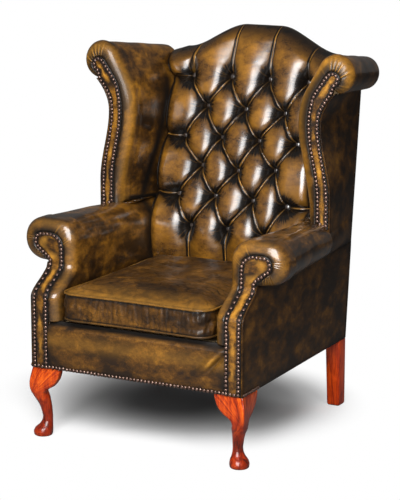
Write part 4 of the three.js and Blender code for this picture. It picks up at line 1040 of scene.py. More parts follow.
def wingPad(side, name):
    facing = smoothEdge(wingFacingEdge(wingFoot, lining["gap"]))
    faceSkin = smoothEdge(wingSkinEdge(0, 0), 8)
    outer, inner = noseRows(facing, faceSkin, lambda z: wingFront, wing["nose"])
    start = (wing["nose"] - facingProud) / wing["depth"]
    for share in np.linspace(start, 1, 66)[1:]:
        pull = (1 - math.sqrt(1 - shareOf(share, wing["tailFrom"], 1) ** 2)) * wing["tail"]
        edge = smoothEdge(wingSkinEdge(share, -pull), 8)
        outer.append(standAt(edge, lerp(wingFront, rearAt(edge[:, 1]) - body["skin"] + 0.3, share)))
        wall = lerp(wing["wall"], wing["rearWall"], ease((share - wing["wallFrom"]) / wing["wallOver"]))
        hollow = lerp(facing, smoothEdge(wingSkinEdge(share, -wall), 8), ease((share - start) * 8))
        rear = rearAt(hollow[:, 1]) - body["skin"] - lining["nearest"]
        inner.append(standAt(hollow, lerp(wingFront + lining["end"], rear, (share - start) / (1 - start))))
    outer, inner = np.array(outer), np.array(inner)
    along = lengthAlong(faceSkin)[None, :]
    back = outer[..., 1] - wingFront
    travel = travelled(outer)
    scroll, fade = gatherFade(wing, along, travel)
    fan = np.sin(along / wing["gatherPitch"] * 2 * np.pi + 1.6 * np.sin(along / 40))
    fan = fan * np.clip(0.35 + 2.4 * cloud(unrolled(along, 0), 34, seed=25), 0, 1.3)
    rough = np.clip(0.6 + 1.2 * cloud(unrolled(along, back), 30, seed=14), 0.1, 1.1)
    pleats = fan * rough * fade
    amount = wing["gather"] * pleats + wing["wave"] * cloud(outer, wing["waveSize"], (1, 1, 2), seed=5)
    folds = bell(back - wing["foldAt"], wing["foldWidth"]) * (1 - scroll) * np.sin(back / wing["foldPitch"])
    amount = amount + wing["foldDepth"] * folds
    within = np.maximum(0, armInside + arm["turnRadius"] - outer[..., 0])
    armSkin = wingArmTop - arm["turnRadius"] + np.sqrt(np.maximum(arm["turnRadius"] ** 2 - within ** 2, 0))
    overArm = outer[..., 2] - armSkin
    amount = amount + wing["over"] * bell(overArm - wing["overAt"], wing["overWidth"]) * ease(back / 40)
    amount = amount - wing["tuck"] * ease((wing["tuckFrom"] - overArm) / wing["tuckOver"]) * ease(back / 30)
    outer = swell(outer, inner, amount)
    low = along < wing["lowReach"]
    reach = wing["dyeReach"] + wing["scrollDye"] * scroll
    stain, wear = padMarks(wing["dye"], outer, travel, pleats, reach, low)
    # Painted shade where the wing's foot meets the arm's top
    shadeOverArm = wing["overShade"] * bell(overArm - wing["overShadeAt"], wing["overWidth"])
    stain = np.maximum(stain, np.clip(shadeOverArm, 0, 1) * low)
    made = skinMesh("wing_cover_" + name, outer, inner, {"stain": stain, "wear": wear}, side)
    finishPiece(made, "chair", "cover_leather", wingLeather, "wing_pad_" + name, fill=0.85)


for name, side in sides.items():
    armPad(side, name)
    wingPad(side, name)
print("stage: arms and wings ready")

# Facing strips: a slightly crowned cover between two edges
strip = {
    "rows": 330, "columns": 25, "dye": 16.5, "crown": 1.6, "crownOver": 14, "back": 4,
    "dyeOver": 4.5, "ragged": 3.2, "raggedSize": 16, "fray": 1.4, "fraySize": 6,
    "goldOver": 4, "rub": 1.2, "rubFrom": 0.2, "rubMost": 0.45, "rubSize": 42,
    "patch": 1.6, "patchFrom": 0.25, "patchMost": 0.6, "patchSize": 18,
}


def stripGrid(edge, outerEdge):
    loop = np.concatenate([edge, outerEdge[::-1]])
    along = lengthAlong(loop)
    travel = np.linspace(0, along[-1] / 2 * 0.995, strip["rows"])
    pick = lambda at: np.stack([np.interp(at, along, loop[:, k]) for k in (0, 1)], axis=1)
    return pick(travel), pick(along[-1] - travel)


def facingStrip(side, name, edge, outerEdge, frontAt, replaced):
    one, two = stripGrid(edge, outerEdge)
    share = np.linspace(0, 1, strip["columns"])[None, :, None]
    flat = one[:, None, :] * (1 - share) + two[:, None, :] * share
    width = np.linalg.norm(two - one, axis=1)[:, None]
    fromEdge = np.minimum(share[..., 0], 1 - share[..., 0]) * width
    crown = strip["crown"] * (1 - np.clip(1 - fromEdge / strip["crownOver"], 0, 1) ** 2)
    front = frontAt(flat[..., 1])
    outer = np.stack([flat[..., 0], front - crown, flat[..., 1]], axis=-1)
    inner = outer.copy()
    inner[..., 1] = front + facingProud + strip["back"]
    ragged = cloud(outer, strip["raggedSize"], (1, 1, 1.6), seed=6) * strip["ragged"]
    ragged = ragged + cloud(outer, strip["fraySize"], seed=6) * strip["fray"]
    stain = ease((strip["dye"] + ragged - fromEdge) / strip["dyeOver"])
    rubbed = strip["rubFrom"] + strip["rub"] * cloud(outer, strip["rubSize"], seed=27)
    rubbed = np.clip(rubbed, 0, strip["rubMost"])
    wear = rubbed * ease((fromEdge - strip["dye"] - 1 - ragged) / strip["goldOver"])
    patches = strip["patch"] * cloud(outer, strip["patchSize"], (1, 1, 2), seed=28) - strip["patchFrom"]
    stain = np.maximum(stain, np.clip(patches, 0, strip["patchMost"]))
    made = skinMesh(name, outer, inner, {"stain": stain, "wear": wear}, side)
    finishPiece(made, "chair", "facing_leather", facingLeather, replaced, fill=0.5)


armFront = lambda z: rakeAt(z) - facingProud
wingFrontFace = lambda z: np.full(np.shape(z), wingFront - facingProud)
for name, side in sides.items():
    low = body["legTop"]
    facingStrip(side, "arm_front_" + name, armFacingEdge(low, 0), armOuterEdge(low, 0), armFront,
                "arm_facing_" + name)
    facingStrip(side, "wing_front_" + name, smoothEdge(wingFacingEdge(wingArmTop - 2, 0)),
                wingOuterEdge(wingArmTop - wing["footSlope"], 0), wingFrontFace, "wing_facing_" + name)
print("stage: facings ready")

# Outside panels, border and outside back: covers with a slight fullness
panel = {"thickness": 5, "armFull": 2.5, "wingFull": 0.5, "backFull": 4, "borderFull": 1, "gap": 0.3,
         "wingLap": 3, "wingRise": 24, "roughSeam": 496, "roughTop": 700, "nominal": (500, 280)}
border = {"proud": 5, "roll": 16, "rollShare": 0.85, "fold": 9, "foldAt": 287, "foldIn": 33, "foldLean": 0.9,
          "foldWiden": 1.35, "ridge": 7, "ridgeWidth": 7, "valley": 8, "valleyWidth": 9, "valleyDepth": 0.9,
          "foldHigh": 24, "high": 136, "wide": 550}
# Dye and rubbed gold of the border, with a painted shade under the cushion and a painted highlight and shade
# at its fold
borderDyeAndPaintedLight = {"rim": 0.9, "rimWidth": 13, "cushionShadeFrom": 0.86, "cushionShadeOver": 0.10, "rub": 0.16, "rubAt": 0.62,
             "rubWidth": 20, "fold": 0.8, "foldAt": 6, "foldWidth": 5, "foldHigh": 30,
             "foldHighlight": 0.7, "foldHighlightAt": 4, "foldHighlightWidth": 4, "foldHighlightHigh": 16}


# A cover plate over a place given by its shares across and up, full in its middle
def coverPlate(name, counts, place, into, fullness, marks, material, replaced, side=1, fill=0.3):
    u, v = np.meshgrid(np.linspace(0, 1, counts[0]), np.linspace(0, 1, counts[1]))
    flat = place(u, v)
    swollen = fullness * (np.sin(np.pi * u) * np.sin(np.pi * v)) ** 0.5
    outer = flat - np.array(into) * swollen[..., None]
    inner = flat + np.array(into) * panel["thickness"]
    made = skinMesh(name, outer, inner, marks(outer, u, v), side)
    finishPiece(made, "chair", "cover_leather", material, replaced, fill=fill)


def outsideArmPlace(u, v):
    backAt = lambda z: lerp(rakeAt(np.minimum(z, body["seam"])) - facingProud, rearAt(z) - body["skin"], u)
    z = lerp(body["legTop"], seamAt(backAt(lerp(body["legTop"], panel["roughSeam"], v))), v)
    y = backAt(z)
    return np.stack([sideAt(y, z), y, z], axis=-1)


def flareReach(z):
    radius = (wingArmTop - seamAt(wingFront)) / 2
    rise = np.clip(z - seamAt(wingFront) - radius, -radius, radius)
    return halfWidth + wing["armReach"] - radius + np.sqrt(np.maximum(radius ** 2 - rise ** 2, 0))


def outsideWingPlace(u, v):
    low = seamAt(lerp(wingFront, rearAt(panel["roughTop"]), u))
    high = lerp(scrollUnder, rearUnder, u) + panel["wingLap"] + panel["wingRise"] * u ** 3
    z = lerp(low, high, v)
    y = lerp(wingFront - facingProud, rearAt(z) - body["skin"], u)
    straight = np.where(z > wingFoot + wing["seat"], wingOuterFront(z), 0)
    front = np.where(z < wingArmTop, np.maximum(flareReach(z), straight), wingOuterFront(z))
    share = (y - wingFront) / (rearAt(z) - wingFront)
    return np.stack([lerp(front, rearHalfAt(z), share), y, z], axis=-1)


def outsideBackPlace(u, v):
    x = lerp(-1, 1, u) * (rearHalfAt(lerp(body["legTop"], crestLow, v)) - panel["gap"])
    z = lerp(body["legTop"], crestAt(x) - tufts["tuck"] - 5, v)
    return np.stack([x, rearAt(z), z], axis=-1)


# Way across the slanting fold near the border's right end
def foldAcross(x, z):
    level = x - stripInside + border["foldIn"]
    return (level - (z - border["foldAt"]) * border["foldLean"]) / border["foldWiden"]


def borderPlace(u, v):
    x = lerp(-1, 1, u) * (stripInside + 1)
    z = lerp(body["legTop"], body["deck"] + 1, v)
    fullness = np.sqrt(np.sin(np.pi * np.minimum(v, 0.5)))
    roll = ease((v - border["rollShare"]) / (1 - border["rollShare"]))
    fold = foldAcross(x, z)
    valley = border["valleyDepth"] * bell(fold + border["valley"], border["valleyWidth"])
    ridge = bell(fold - border["ridge"], border["ridgeWidth"]) - valley
    ridge = ridge * bell(z - border["foldAt"], border["foldHigh"])
    y = border["roll"] * roll - border["proud"] * fullness + border["fold"] * ridge
    return np.stack([x, y, z], axis=-1)


def edgeMarks(outer, u, v):
    across, up = panel["nominal"]
    rim = np.minimum(np.minimum(u, 1 - u) * across, np.minimum(v, 1 - v) * up)
    return {"stain": 0.8 * bell(rim, 9), "wear": np.zeros(outer.shape[:2])}


def borderMarks(outer, u, v):
    rim = np.minimum(v * border["high"], np.minimum(u, 1 - u) * border["wide"])
    fold = foldAcross(outer[..., 0], outer[..., 2])
    fromFold = outer[..., 2] - border["foldAt"]
    look = borderDyeAndPaintedLight
    # Painted highlight on the fold's crest near the right end, in rubbed gold
    rubAndFoldHighlight = look["foldHighlight"] * bell(fold + look["foldHighlightAt"], look["foldHighlightWidth"])
    rubAndFoldHighlight = rubAndFoldHighlight * bell(fromFold, look["foldHighlightHigh"])
    rubAndFoldHighlight = rubAndFoldHighlight + look["rub"] * bell((v - look["rubAt"]) * border["high"], look["rubWidth"])
    dark = look["rim"] * bell(rim, look["rimWidth"])
    # Painted shade under the cushion: the border darkens towards its top
    dark = np.maximum(dark, ease((v - look["cushionShadeFrom"]) / look["cushionShadeOver"]))
    # Painted shade in the fold's valley
    foldShade = look["fold"] * bell(fold - look["foldAt"], look["foldWidth"]) * bell(fromFold, look["foldHigh"])
    dark = np.maximum(dark, foldShade)
    return {"stain": dark, "wear": rubAndFoldHighlight}


for name, side in sides.items():
    coverPlate("outside_arm_cover_" + name, (90, 44), outsideArmPlace, (-1, 0, 0), panel["armFull"],
               edgeMarks, outsideLeather, "outside_arm_" + name, side)
    coverPlate("outside_wing_cover_" + name, (60, 110), outsideWingPlace, (-1, 0, 0), panel["wingFull"],
               edgeMarks, outsideLeather, "outside_wing_" + name, side)
coverPlate("outside_back_cover", (110, 130), outsideBackPlace, (0, -1, 0), panel["backFull"], edgeMarks,
           outsideLeather, "outside_back")
coverPlate("border_cover", (300, 80), borderPlace, (0, 1, 0), panel["borderFull"], borderMarks,
           borderLeather, "front_border", fill=0.5)
print("stage: outside panels ready")

# Seat cushion: boxed, piped, with a crowned top
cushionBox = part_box("seat_cushion")
cushion = {
    "half": cushionBox[1].x / mm - 1, "front": (cushionBox[0].y - bodyFront) / mm,
    "rear": (cushionBox[1].y - bodyFront) / mm, "low": cushionBox[0].z / mm + 2,
    "box": 84, "crown": 34, "crownOver": 120, "corner": 44, "leastCorner": 14, "seam": 3, "bulge": 3.0,
    "draw": 5, "lift": 11, "round": 42, "hub": 6, "goldFrom": 40, "around": 2040,
    "columns": 640, "boxRows": 26, "topRows": 100, "underRows": 30,
    "gatherHeight": 33, "cornerIn": 18, "cornerWidth": 75, "tuck": 1.5, "sag": 7, "sagSize": 110,
    "unevenness": 1.6, "crease": 1.1, "fineCrease": 0.5, "calm": 90,
    "piping": 2.9, "pipingSteps": 220, "pipingSides": 10,
}
# Dye and rubbed gold of the cushion, with a painted sheen on its top
cushionDyeAndSheen = {
    "under": 0.3, "box": 0.9, "boxAt": 0.06, "boxWidth": 0.05, "seam": 0.75, "seamAt": 4, "seamWidth": 3.5,
    "rub": 0.16, "rubAt": 9, "sheen": 0.10, "sheenAt": 40, "tuck": 0.5, "streak": 0.7,
    "crack": 0.75, "fineCrack": 0.45, "crackFrom": 3,
}
cushionTop = cushion["low"] + cushion["box"]
cushionSeam = cushion["low"] + cushion["lift"]
cushionMiddle = (cushion["rear"] + cushion["front"]) / 2


def cushionOutline(inset, draw, count):
    halfX = cushion["half"] - inset
    halfY = (cushion["rear"] - cushion["front"]) / 2 - inset
    radius = max(cushion["corner"] - inset * 0.6, cushion["leastCorner"])
    corners = [((1, 1), 0), ((-1, 1), 90), ((-1, -1), 180), ((1, -1), 270)]
    loop = np.concatenate([
        arcOf(signX * (halfX - radius), signY * (halfY - radius), radius, start, start + 90, 30)
        for (signX, signY), start in corners
    ])
    loop = np.concatenate([loop[-15:], loop[:-15]])
    x, y = resample(np.concatenate([loop, loop[:1]]), count + 1)[:-1].T
    return np.stack([
        x * (1 - draw / halfX * np.cos(y / halfY * math.pi / 2) ** 2),
        y * (1 - draw / halfY * np.cos(x / halfX * math.pi / 2) ** 2) + cushionMiddle,
    ], axis=1)


# The rings of the cushion from under its middle to its top's: inset, draw, height, dye and rubbed gold with a
# painted sheen
def cushionRings():
    reach = cushion["half"] - cushion["hub"]
    look = cushionDyeAndSheen
    rings = []
    for i in range(cushion["underRows"], 0, -1):
        inset = i / cushion["underRows"] * reach
        z = cushion["low"] + cushion["lift"] * (1 - min(1, inset / cushion["round"])) ** 2
        rings.append((cushion["seam"] + inset, 0, z, look["under"], 0))
    for i in range(cushion["boxRows"] + 1):
        share = i / cushion["boxRows"]
        bulge = cushion["bulge"] * math.sin(math.pi * share) ** 0.6
        fromEdge = 0.5 - abs(share - 0.5)
        dye = look["box"] * bell(fromEdge - look["boxAt"], look["boxWidth"])
        rings.append((cushion["seam"] - bulge, cushion["draw"], lerp(cushionSeam, cushionTop, share), dye, 0))
    for i in range(1, cushion["topRows"] + 1):
        share = i / cushion["topRows"]
        inset = share * reach
        z = cushionTop + cushion["crown"] * (1 - (1 - shareOf(inset, 0, cushion["crownOver"])) ** 2.4)
        gold = look["rub"] * bell(inset - look["rubAt"], look["rubAt"])
        # A painted sheen further in from the piping
        gold = gold + look["sheen"] * bell(inset - look["sheenAt"], look["sheenAt"])
        dye = look["seam"] * bell(inset - look["seamAt"], look["seamWidth"])
        rings.append((cushion["seam"] + inset, cushion["draw"] * (1 - share), z, dye, gold))
    return rings


def seatCushion():
    count = cushion["columns"]
    rings = cushionRings()
    outlines = [cushionOutline(inset, draw, count) for inset, draw, _, _, _ in rings]
    level, stain, gold = (np.repeat([[ring[k]] for ring in rings], count, axis=1) for k in (2, 3, 4))
    grid = np.concatenate([np.array(outlines), level[..., None]], axis=-1)
    # Rubbed gold and painted sheen towards the front of the top only
    wear = gold * ease((cushion["goldFrom"] - grid[..., 1] + 30) / 60)
    away = grid[..., :2] - np.array([0, cushionMiddle])
    length = np.linalg.norm(away, axis=2, keepdims=True)
    onBox = np.exp(-((level - (cushionSeam + cushionTop) / 2) / cushion["gatherHeight"]) ** 4)
    wrapped = unrolled(np.linspace(0, 1, count, endpoint=False)[None, :] * cushion["around"], level)
    streaks = cloud(wrapped, 8, (1, 7, 1), seed=29)
    gather = cloud(wrapped, 26, (1, 2.6, 1), seed=8) * 2.6 + streaks * 3.0
    cornerX = np.abs(grid[..., 0]) - cushion["half"] + cushion["cornerIn"]
    cornerY = grid[..., 1] - cushion["front"] - cushion["cornerIn"]
    corner = bell(np.hypot(cornerX, cornerY), cushion["cornerWidth"])
    crumples = cloud(wrapped, 24, (1, 0.8, 1), seed=30) * 5 + cloud(wrapped, 11, seed=31) * 2.2
    gather = gather + corner * crumples
    tuck = 1 - np.abs(cloud(wrapped, 13, (1, 4.5, 1), seed=17)) * 3
    seam = np.minimum(np.abs(level - cushionSeam), np.abs(level - cushionTop))
    tuck = np.clip(tuck, 0, 1) ** 3 * (0.35 + 0.65 * bell(seam, 22))
    grid[..., :2] += away / np.maximum(length, 1) * ((gather - cushion["tuck"] * tuck) * onBox)[..., None]
    look = cushionDyeAndSheen
    boxDye = look["tuck"] * tuck + look["streak"] * np.maximum(0, -streaks)
    stain = np.clip(stain + boxDye * onBox, 0, 1)
    fine = 1 - np.abs(cloud(grid, 34, (1.9, 1, 1), seed=15)) * 3.2
    finer = 1 - np.abs(cloud(grid, 15, (1.5, 1, 1), seed=16)) * 3.2
    fine, finer = np.clip(fine, 0, 1), np.clip(finer, 0, 1)
    calm = ease(length[..., 0] / cushion["calm"])
    creases = cushion["crease"] * fine ** 3 + cushion["fineCrease"] * finer ** 3
    uneven = cloud(grid, 40, seed=10) * cushion["unevenness"] - creases
    sag = cloud(grid, cushion["sagSize"], seed=9) * cushion["sag"] + uneven * calm
    cracks = fine ** 6 * look["crack"] + finer ** 6 * look["fineCrack"]
    stain = np.clip(stain + cracks * calm * (level > cushionTop + look["crackFrom"]), 0, 1)
    lift = np.clip((level - cushionTop) / cushion["crown"], 0, 1)
    grid[..., 2] += np.where(level > cushionTop - 2, sag * lift, 0)
    index = np.arange(len(rings) * count).reshape(-1, count)
    across = np.roll(index, -1, axis=1)
    faces = np.stack([index[:-1], across[:-1], across[1:], index[1:]], axis=-1).reshape(-1, 4).tolist()
    faces += [index[0].tolist()[::-1], index[-1].tolist()]
    marks = {"stain": stain.reshape(-1), "wear": wear.reshape(-1)}
    made = skinObject("cushion_cover", grid.reshape(-1, 3), faces, marks)
    finishPiece(made, "cushion", "cover_leather", cushionLeather, "seat_cushion", fill=0.75)


def pipingTube(name, level, dye):
    loop = cushionOutline(1.0, cushion["draw"], cushion["pipingSteps"])
    forward = np.roll(loop, -1, axis=0) - np.roll(loop, 1, axis=0)
    forward /= np.linalg.norm(forward, axis=1, keepdims=True)
    outward = np.stack([forward[:, 1], -forward[:, 0]], axis=1)
    turns = np.arange(cushion["pipingSides"]) * 2 * math.pi / cushion["pipingSides"]
    rings = loop[:, None, :] + outward[:, None, :] * cushion["piping"] * np.cos(turns)[None, :, None]
    rise = np.broadcast_to(level + cushion["piping"] * np.sin(turns), rings.shape[:2])
    points = np.concatenate([rings, rise[..., None]], axis=-1).reshape(-1, 3)
    index = np.arange(len(points)).reshape(len(loop), -1)
    right, below = np.roll(index, -1, axis=1), np.roll(index, -1, axis=0)
    faces = np.stack([index, right, np.roll(right, -1, axis=0), below], axis=-1).reshape(-1, 4).tolist()
    marks = {"stain": np.full(len(points), dye), "wear": np.full(len(points), 0.25 - 0.4 * dye)}
    finishPiece(skinObject(name, points, faces, marks), "cushion", "cover_leather", cushionLeather)


seatCushion()
# The lower piping is darker than the upper, a painted shade at the foot of the cushion's box
pipingTube("cushion_piping_upper", cushionTop + 1, 0.1)
pipingTube("cushion_piping_lower", cushionSeam + 1, 0.5)
print("stage: cushion ready")

# Nails along both edges of each facing, across each wing's foot and round the bottom
nail = {"width": 11.0, "dome": 0.62, "pitch": 11.3, "edge": 6.4, "bottom": 5.6, "sideRun": 92, "jitter": 0.25,
        "wingFoot": 6, "cornerGap": 3, "sideProud": 0.6}
nailRandom = np.random.RandomState(11)


def spaced(path):
    count = int(round(lengthAlong(path)[-1] / nail["pitch"])) + 1
    return resample(path, count)


def wobble(points):
    return points + nailRandom.normal(0, nail["jitter"], points.shape)


# Nails on a front face, whose depth and slope follow the height
def frontNails(side, points, frontAt):
    slope = lambda z: (frontAt(z + 1) - frontAt(z - 1)) / 2
    return [((side * x, frontAt(z), z), (0, -1, slope(z))) for x, z in wobble(points)]


def nailRow(pattern, name, places):
    finishPiece(scatter(pattern, name, places), "chair", "cover_leather", nailBrass)


def nailRows():
    pattern = makeDome("nail_pattern", nail["width"], nail["dome"], 9, 6)
    low = body["legTop"] + nail["bottom"]
    inset = nail["edge"]
    proud = facingProud + strip["crown"]
    for name, side in sides.items():
        loop = np.concatenate([armFacingEdge(low, -inset), armOuterEdge(low, -inset)[::-1]])
        nailRow(pattern, "arm_nails_" + name, frontNails(side, spaced(loop), lambda z: rakeAt(z) - proud))
        foot = wingArmTop + nail["wingFoot"]
        outside = wingOuterEdge(foot + nail["wingFoot"] - wing["footSlope"], -inset)
        loop = np.concatenate([smoothEdge(wingFacingEdge(foot, -inset)), outside[::-1]])
        places = frontNails(side, spaced(loop), lambda z: wingFront - proud)
        places += frontNails(side, spaced(loop[[0, -1]]), lambda z: wingFront - proud)[1:-1]
        nailRow(pattern, "wing_nails_" + name, places)
    rowHalf = stripInside - nail["cornerGap"]
    places = frontNails(1, spaced(np.array([[-rowHalf, low], [rowHalf, low]])), lambda z: -facingProud)
    middle = (stripInside + stripOutside) / 2
    run = (stripOutside - stripInside) / 2 - inset
    for side in sides.values():
        short = spaced(np.array([[middle - run, low], [middle + run, low]]))[1:-1]
        places += frontNails(side, short, lambda z: -proud)
        along = wobble(spaced(np.array([[2, low], [nail["sideRun"], low]])))
        places += [((side * (sideAt(y, z) + nail["sideProud"]), y, z), (side, 0, 0)) for y, z in along]
    nailRow(pattern, "bottom_nails", places)
    bpy.data.objects.remove(pattern)


nailRows()
print("stage: nails ready")

# Legs: the frame's own legs, carved smooth
leg = {"voxel": 1.5, "soften": 14, "rearBevel": 3.2, "bevelSteps": 4, "fanAt": 118, "fanOver": 60, "top": 10}


def copyOf(node, name):
    made = newObject(name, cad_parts[node].data.copy())
    openEdit(made)
    bpy.ops.mesh.remove_doubles(threshold=0.01 * mm)
    bpy.ops.mesh.dissolve_limited(angle_limit=math.radians(0.5))
    closeEdit()
    return made


# Adds a modifier with its settings and applies it
def applyModifier(made, kind, **settings):
    modifier = made.modifiers.new(kind, kind)
    for key, value in settings.items():
        setattr(modifier, key, value)
    bpy.context.view_layer.objects.active = made
    bpy.ops.object.modifier_apply(modifier=modifier.name)


# Stretches a softened copy back to its first height, so that it stands on the floor and meets the rail
def keepHeight(made, low, high):
    corners = cornersOf(made.data)
    bottom, top = corners[:, 2].min(), corners[:, 2].max()
    corners[:, 2] = low + (corners[:, 2] - bottom) * (high - low) / (top - bottom)
    made.data.vertices.foreach_set("co", corners.reshape(-1))
    made.data.update()
    return corners / mm


# Marks for the grain: the angle round the foot of the knee, and the height over it
def markKnee(made, corners):
    outward = np.sign(corners[:, 0].mean())
    top = corners[corners[:, 2] > corners[:, 2].max() - leg["top"]]
    middle = (top.min(axis=0) + top.max(axis=0)) / 2
    across = ((corners[:, 0] - middle[0]) * outward + (corners[:, 1] - middle[1])) / math.sqrt(2)
    up = corners[:, 2] - leg["fanAt"]
    addMarks(made.data, {"fan": np.arctan2(across, np.maximum(up, 1)), "rise": up / leg["fanOver"]})


def frontLeg(name):
    node = "front_leg_" + name
    low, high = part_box(node)
    made = copyOf(node, "carved_front_leg_" + name)
    applyModifier(made, "REMESH", mode="VOXEL", voxel_size=leg["voxel"] * mm)
    applyModifier(made, "SMOOTH", iterations=leg["soften"], factor=0.5)
    markKnee(made, keepHeight(made, low.z, high.z))
    shadeSmooth(made.data)
    finishPiece(made, "chair", "leg_wood", legWood, node)


def rearLeg(name):
    node = "rear_leg_" + name
    made = copyOf(node, "rear_leg_shaft_" + name)
    applyModifier(made, "BEVEL", width=leg["rearBevel"] * mm, segments=leg["bevelSteps"],
                  limit_method="ANGLE", angle_limit=math.radians(25))
    bpy.ops.object.shade_smooth_by_angle(angle=math.radians(40))
    finishPiece(made, "chair", "leg_wood", paintedLightRearWood, node)


for name in sides:
    frontLeg(name)
    rearLeg(name)
print("stage: legs ready")

# Soft solids under the cushion and under the chair
hidden = {"clothInset": 12, "legRoom": 102, "ripple": 0.5, "rippleSize": 40}
slabs = {
    "deck_cloth": {"node": "seat_deck", "slot": "deck_hessian", "material": hessian, "crown": 6, "steps": 60,
                   "coarse": 4, "fill": 0.7, "legs": False},
    "dust_cloth": {"node": "bottom_cloth", "slot": "black_cloth", "material": blackCloth, "crown": -0.6,
                   "steps": 40, "coarse": 1, "fill": 0.1, "legs": True},
}
rearLegWidth = (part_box("rear_leg_left")[1].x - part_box("rear_leg_left")[0].x) / mm
rearStep = depth - hidden["clothInset"] - rearLegWidth


# Half the width of the dust cloth, which leaves room for the four legs
def clothHalf(y):
    edge = sideAt(y, body["legTop"]) - hidden["clothInset"]
    edge = np.where(y < hidden["legRoom"], halfWidth - hidden["legRoom"], edge)
    return np.where(y > rearStep, edge - rearLegWidth, edge)


def softSlab(name, slab):
    low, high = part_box(slab["node"])
    steps, crown = slab["steps"], slab["crown"]
    y = (np.linspace(low.y, high.y, steps) - bodyFront) / mm
    half = np.full(steps, high.x / mm)
    if slab["legs"]:
        notches = np.array([hidden["legRoom"], rearStep])
        y = np.sort(np.concatenate([y, notches - 0.5, notches + 0.5]))
        half = clothHalf(y)
    across = np.linspace(-1, 1, steps)
    gridX, gridY = across[None, :] * half[:, None], np.repeat(y[:, None], steps, axis=1)
    share = np.sin(np.pi * shareOf(y, y[0], y[-1]))[:, None] * np.cos(np.pi / 2 * across)[None, :]
    top = np.stack([gridX, gridY, high.z / mm - max(crown, 0) + crown * share ** 0.5], axis=-1)
    top[..., 2] += hidden["ripple"] * cloud(top, hidden["rippleSize"], seed=12) * share
    bottom = np.stack([gridX, gridY, low.z / mm + min(crown, 0) * share], axis=-1)
    made = skinMesh(name, top, bottom, {}, coarse=slab["coarse"])
    finishPiece(made, "chair", slab["slot"], slab["material"], slab["node"], fill=slab["fill"])


for name, slab in slabs.items():
    softSlab(name, slab)

# What stays plain in the frame gets its wood, steel or webbing
for node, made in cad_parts.items():
    look = steel if node.startswith("seat_spring") else frameWood
    look = webCloth if node.startswith("back_webbing") else look
    made.data.materials.clear()
    made.data.materials.append(look)
print("stage: frame ready")

# Camera, lamps, world and floor
view = {"azimuth": 28.56, "elevation": 12.15, "distance": 5.693, "lens": 144.4, "sensor": 36,
        "target": (0, bodyFront + 0.35, 0.5), "shift": (0.0074, 0.0014)}
lamps = {
    "key": {"at": (0.55, -2.25, 1.8), "aim": (0, 0.3, 0.7), "size": (1.35, 2.1), "power": 118},
    "top": {"at": (0.1, -1.3, 2.7), "aim": (0, -0.2, 0.6), "size": (1.2, 0.8), "power": 16},
    "side": {"at": (2.7, -1.9, 1.9), "aim": (0, 0, 0.7), "size": (0.7, 2.0), "power": 30},
    "fill": {"at": (-2.4, -2.4, 1.6), "aim": (0, 0, 0.6), "size": (0.8, 1.8), "power": 14},
    "rear": {"at": (-0.6, 2.0, 3.3), "aim": (0, 0, 0.7), "size": (1.8, 1.8), "power": 18},
}
studio = {"shines": "key", "ambient": 0.07, "mirrored": 0.06}
# under and dark: a painted shadow, the floor's colour darkening towards the chair
floor = {"size": 30, "near": 0.80, "far": 1.40, "white": 0.95, "under": 0.14, "unseen": 0.18, "dark": 0.25,
         "halfX": 0.43, "halfY": 0.385, "at": (-0.16, 0.13)}


def makeCamera():
    turn, rise = math.radians(view["azimuth"]), math.radians(view["elevation"])
    back = Vector((math.sin(turn) * math.cos(rise), -math.cos(turn) * math.cos(rise), math.sin(rise)))
    data = bpy.data.cameras.new("camera")
    data.lens = view["lens"]
    data.sensor_width = view["sensor"]
    data.shift_x, data.shift_y = view["shift"]
    camera = newObject("camera", data)
    camera.location = Vector(view["target"]) + back * view["distance"]
    camera.rotation_euler = back.to_track_quat("Z", "Y").to_euler()
    bpy.context.scene.camera = camera


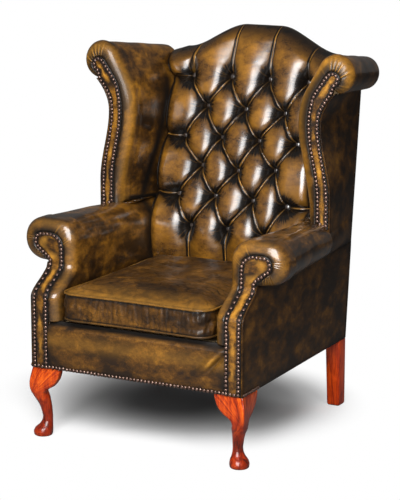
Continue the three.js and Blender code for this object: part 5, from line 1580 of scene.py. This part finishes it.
def makeLamp(name, lamp):
    data = bpy.data.lights.new(name, "AREA")
    data.shape = "RECTANGLE"
    data.size, data.size_y = lamp["size"]
    data.energy = lamp["power"]
    made = newObject(name, data)
    made.visible_camera = False
    made.visible_glossy = name == studio["shines"]
    made.location = lamp["at"]
    made.rotation_euler = (Vector(lamp["at"]) - Vector(lamp["aim"])).to_track_quat("Z", "Y").to_euler()


# White to the camera, dim to everything else
def makeWorld():
    world = bpy.data.worlds.new("studio")
    bpy.context.scene.world = world
    shader = Shader(world, "ShaderNodeOutputWorld", "ShaderNodeBackground", {"Color": (1, 1, 1)})
    dim = shader.ray("Is Glossy Ray") * studio["mirrored"] + studio["ambient"]
    seen = shader.ray("Is Camera Ray").maths("MAXIMUM", shader.ray("Is Transmission Ray"))
    shader.feed(Strength=seen.maths("MAXIMUM", dim))


# A white floor that keeps the shadow, with a painted shadow that darkens its colour under the chair, and
# plain white far from it
def makeFloor():
    bpy.ops.mesh.primitive_plane_add(size=floor["size"])
    made = bpy.context.active_object
    made.name = "studio_floor"
    shader = newMaterial("studio_floor", {"Roughness": 0.9, "Specular IOR Level": 0.1})
    (x, y), halfX, halfY = floor["at"], floor["halfX"], floor["halfY"]
    at = shader.place((1 / halfX, 1 / halfY, 1), (-x / halfX, -y / halfY, 0))
    reach = shader.add("ShaderNodeVectorMath", {"operation": "LENGTH"}, {0: at}, "Value")
    seen = shader.ray("Is Camera Ray")
    glow = shader.add("ShaderNodeEmission", {}, {"Color": (1, 1, 1), "Strength": 1.0})
    away = reach.step(floor["near"], floor["far"]) * seen
    shader.show(shader.add("ShaderNodeMixShader", {}, {0: away, 1: shader.surface, 2: glow}))
    # Painted shadow: to the camera the floor darkens towards the chair
    near = reach.step(floor["dark"], 1.0) * (floor["white"] - floor["under"]) + floor["under"]
    tone = seen * (near - floor["unseen"]) + floor["unseen"]
    shader.feed(Base_Color=shader.ramp(tone, (0, (0, 0, 0)), (1, (1, 1, 1))))
    made.data.materials.append(shader.owner)


makeCamera()
for name, lamp in lamps.items():
    makeLamp(name, lamp)
makeWorld()
makeFloor()
bpy.context.scene.view_settings.view_transform = "Standard"
print("stage: studio ready")

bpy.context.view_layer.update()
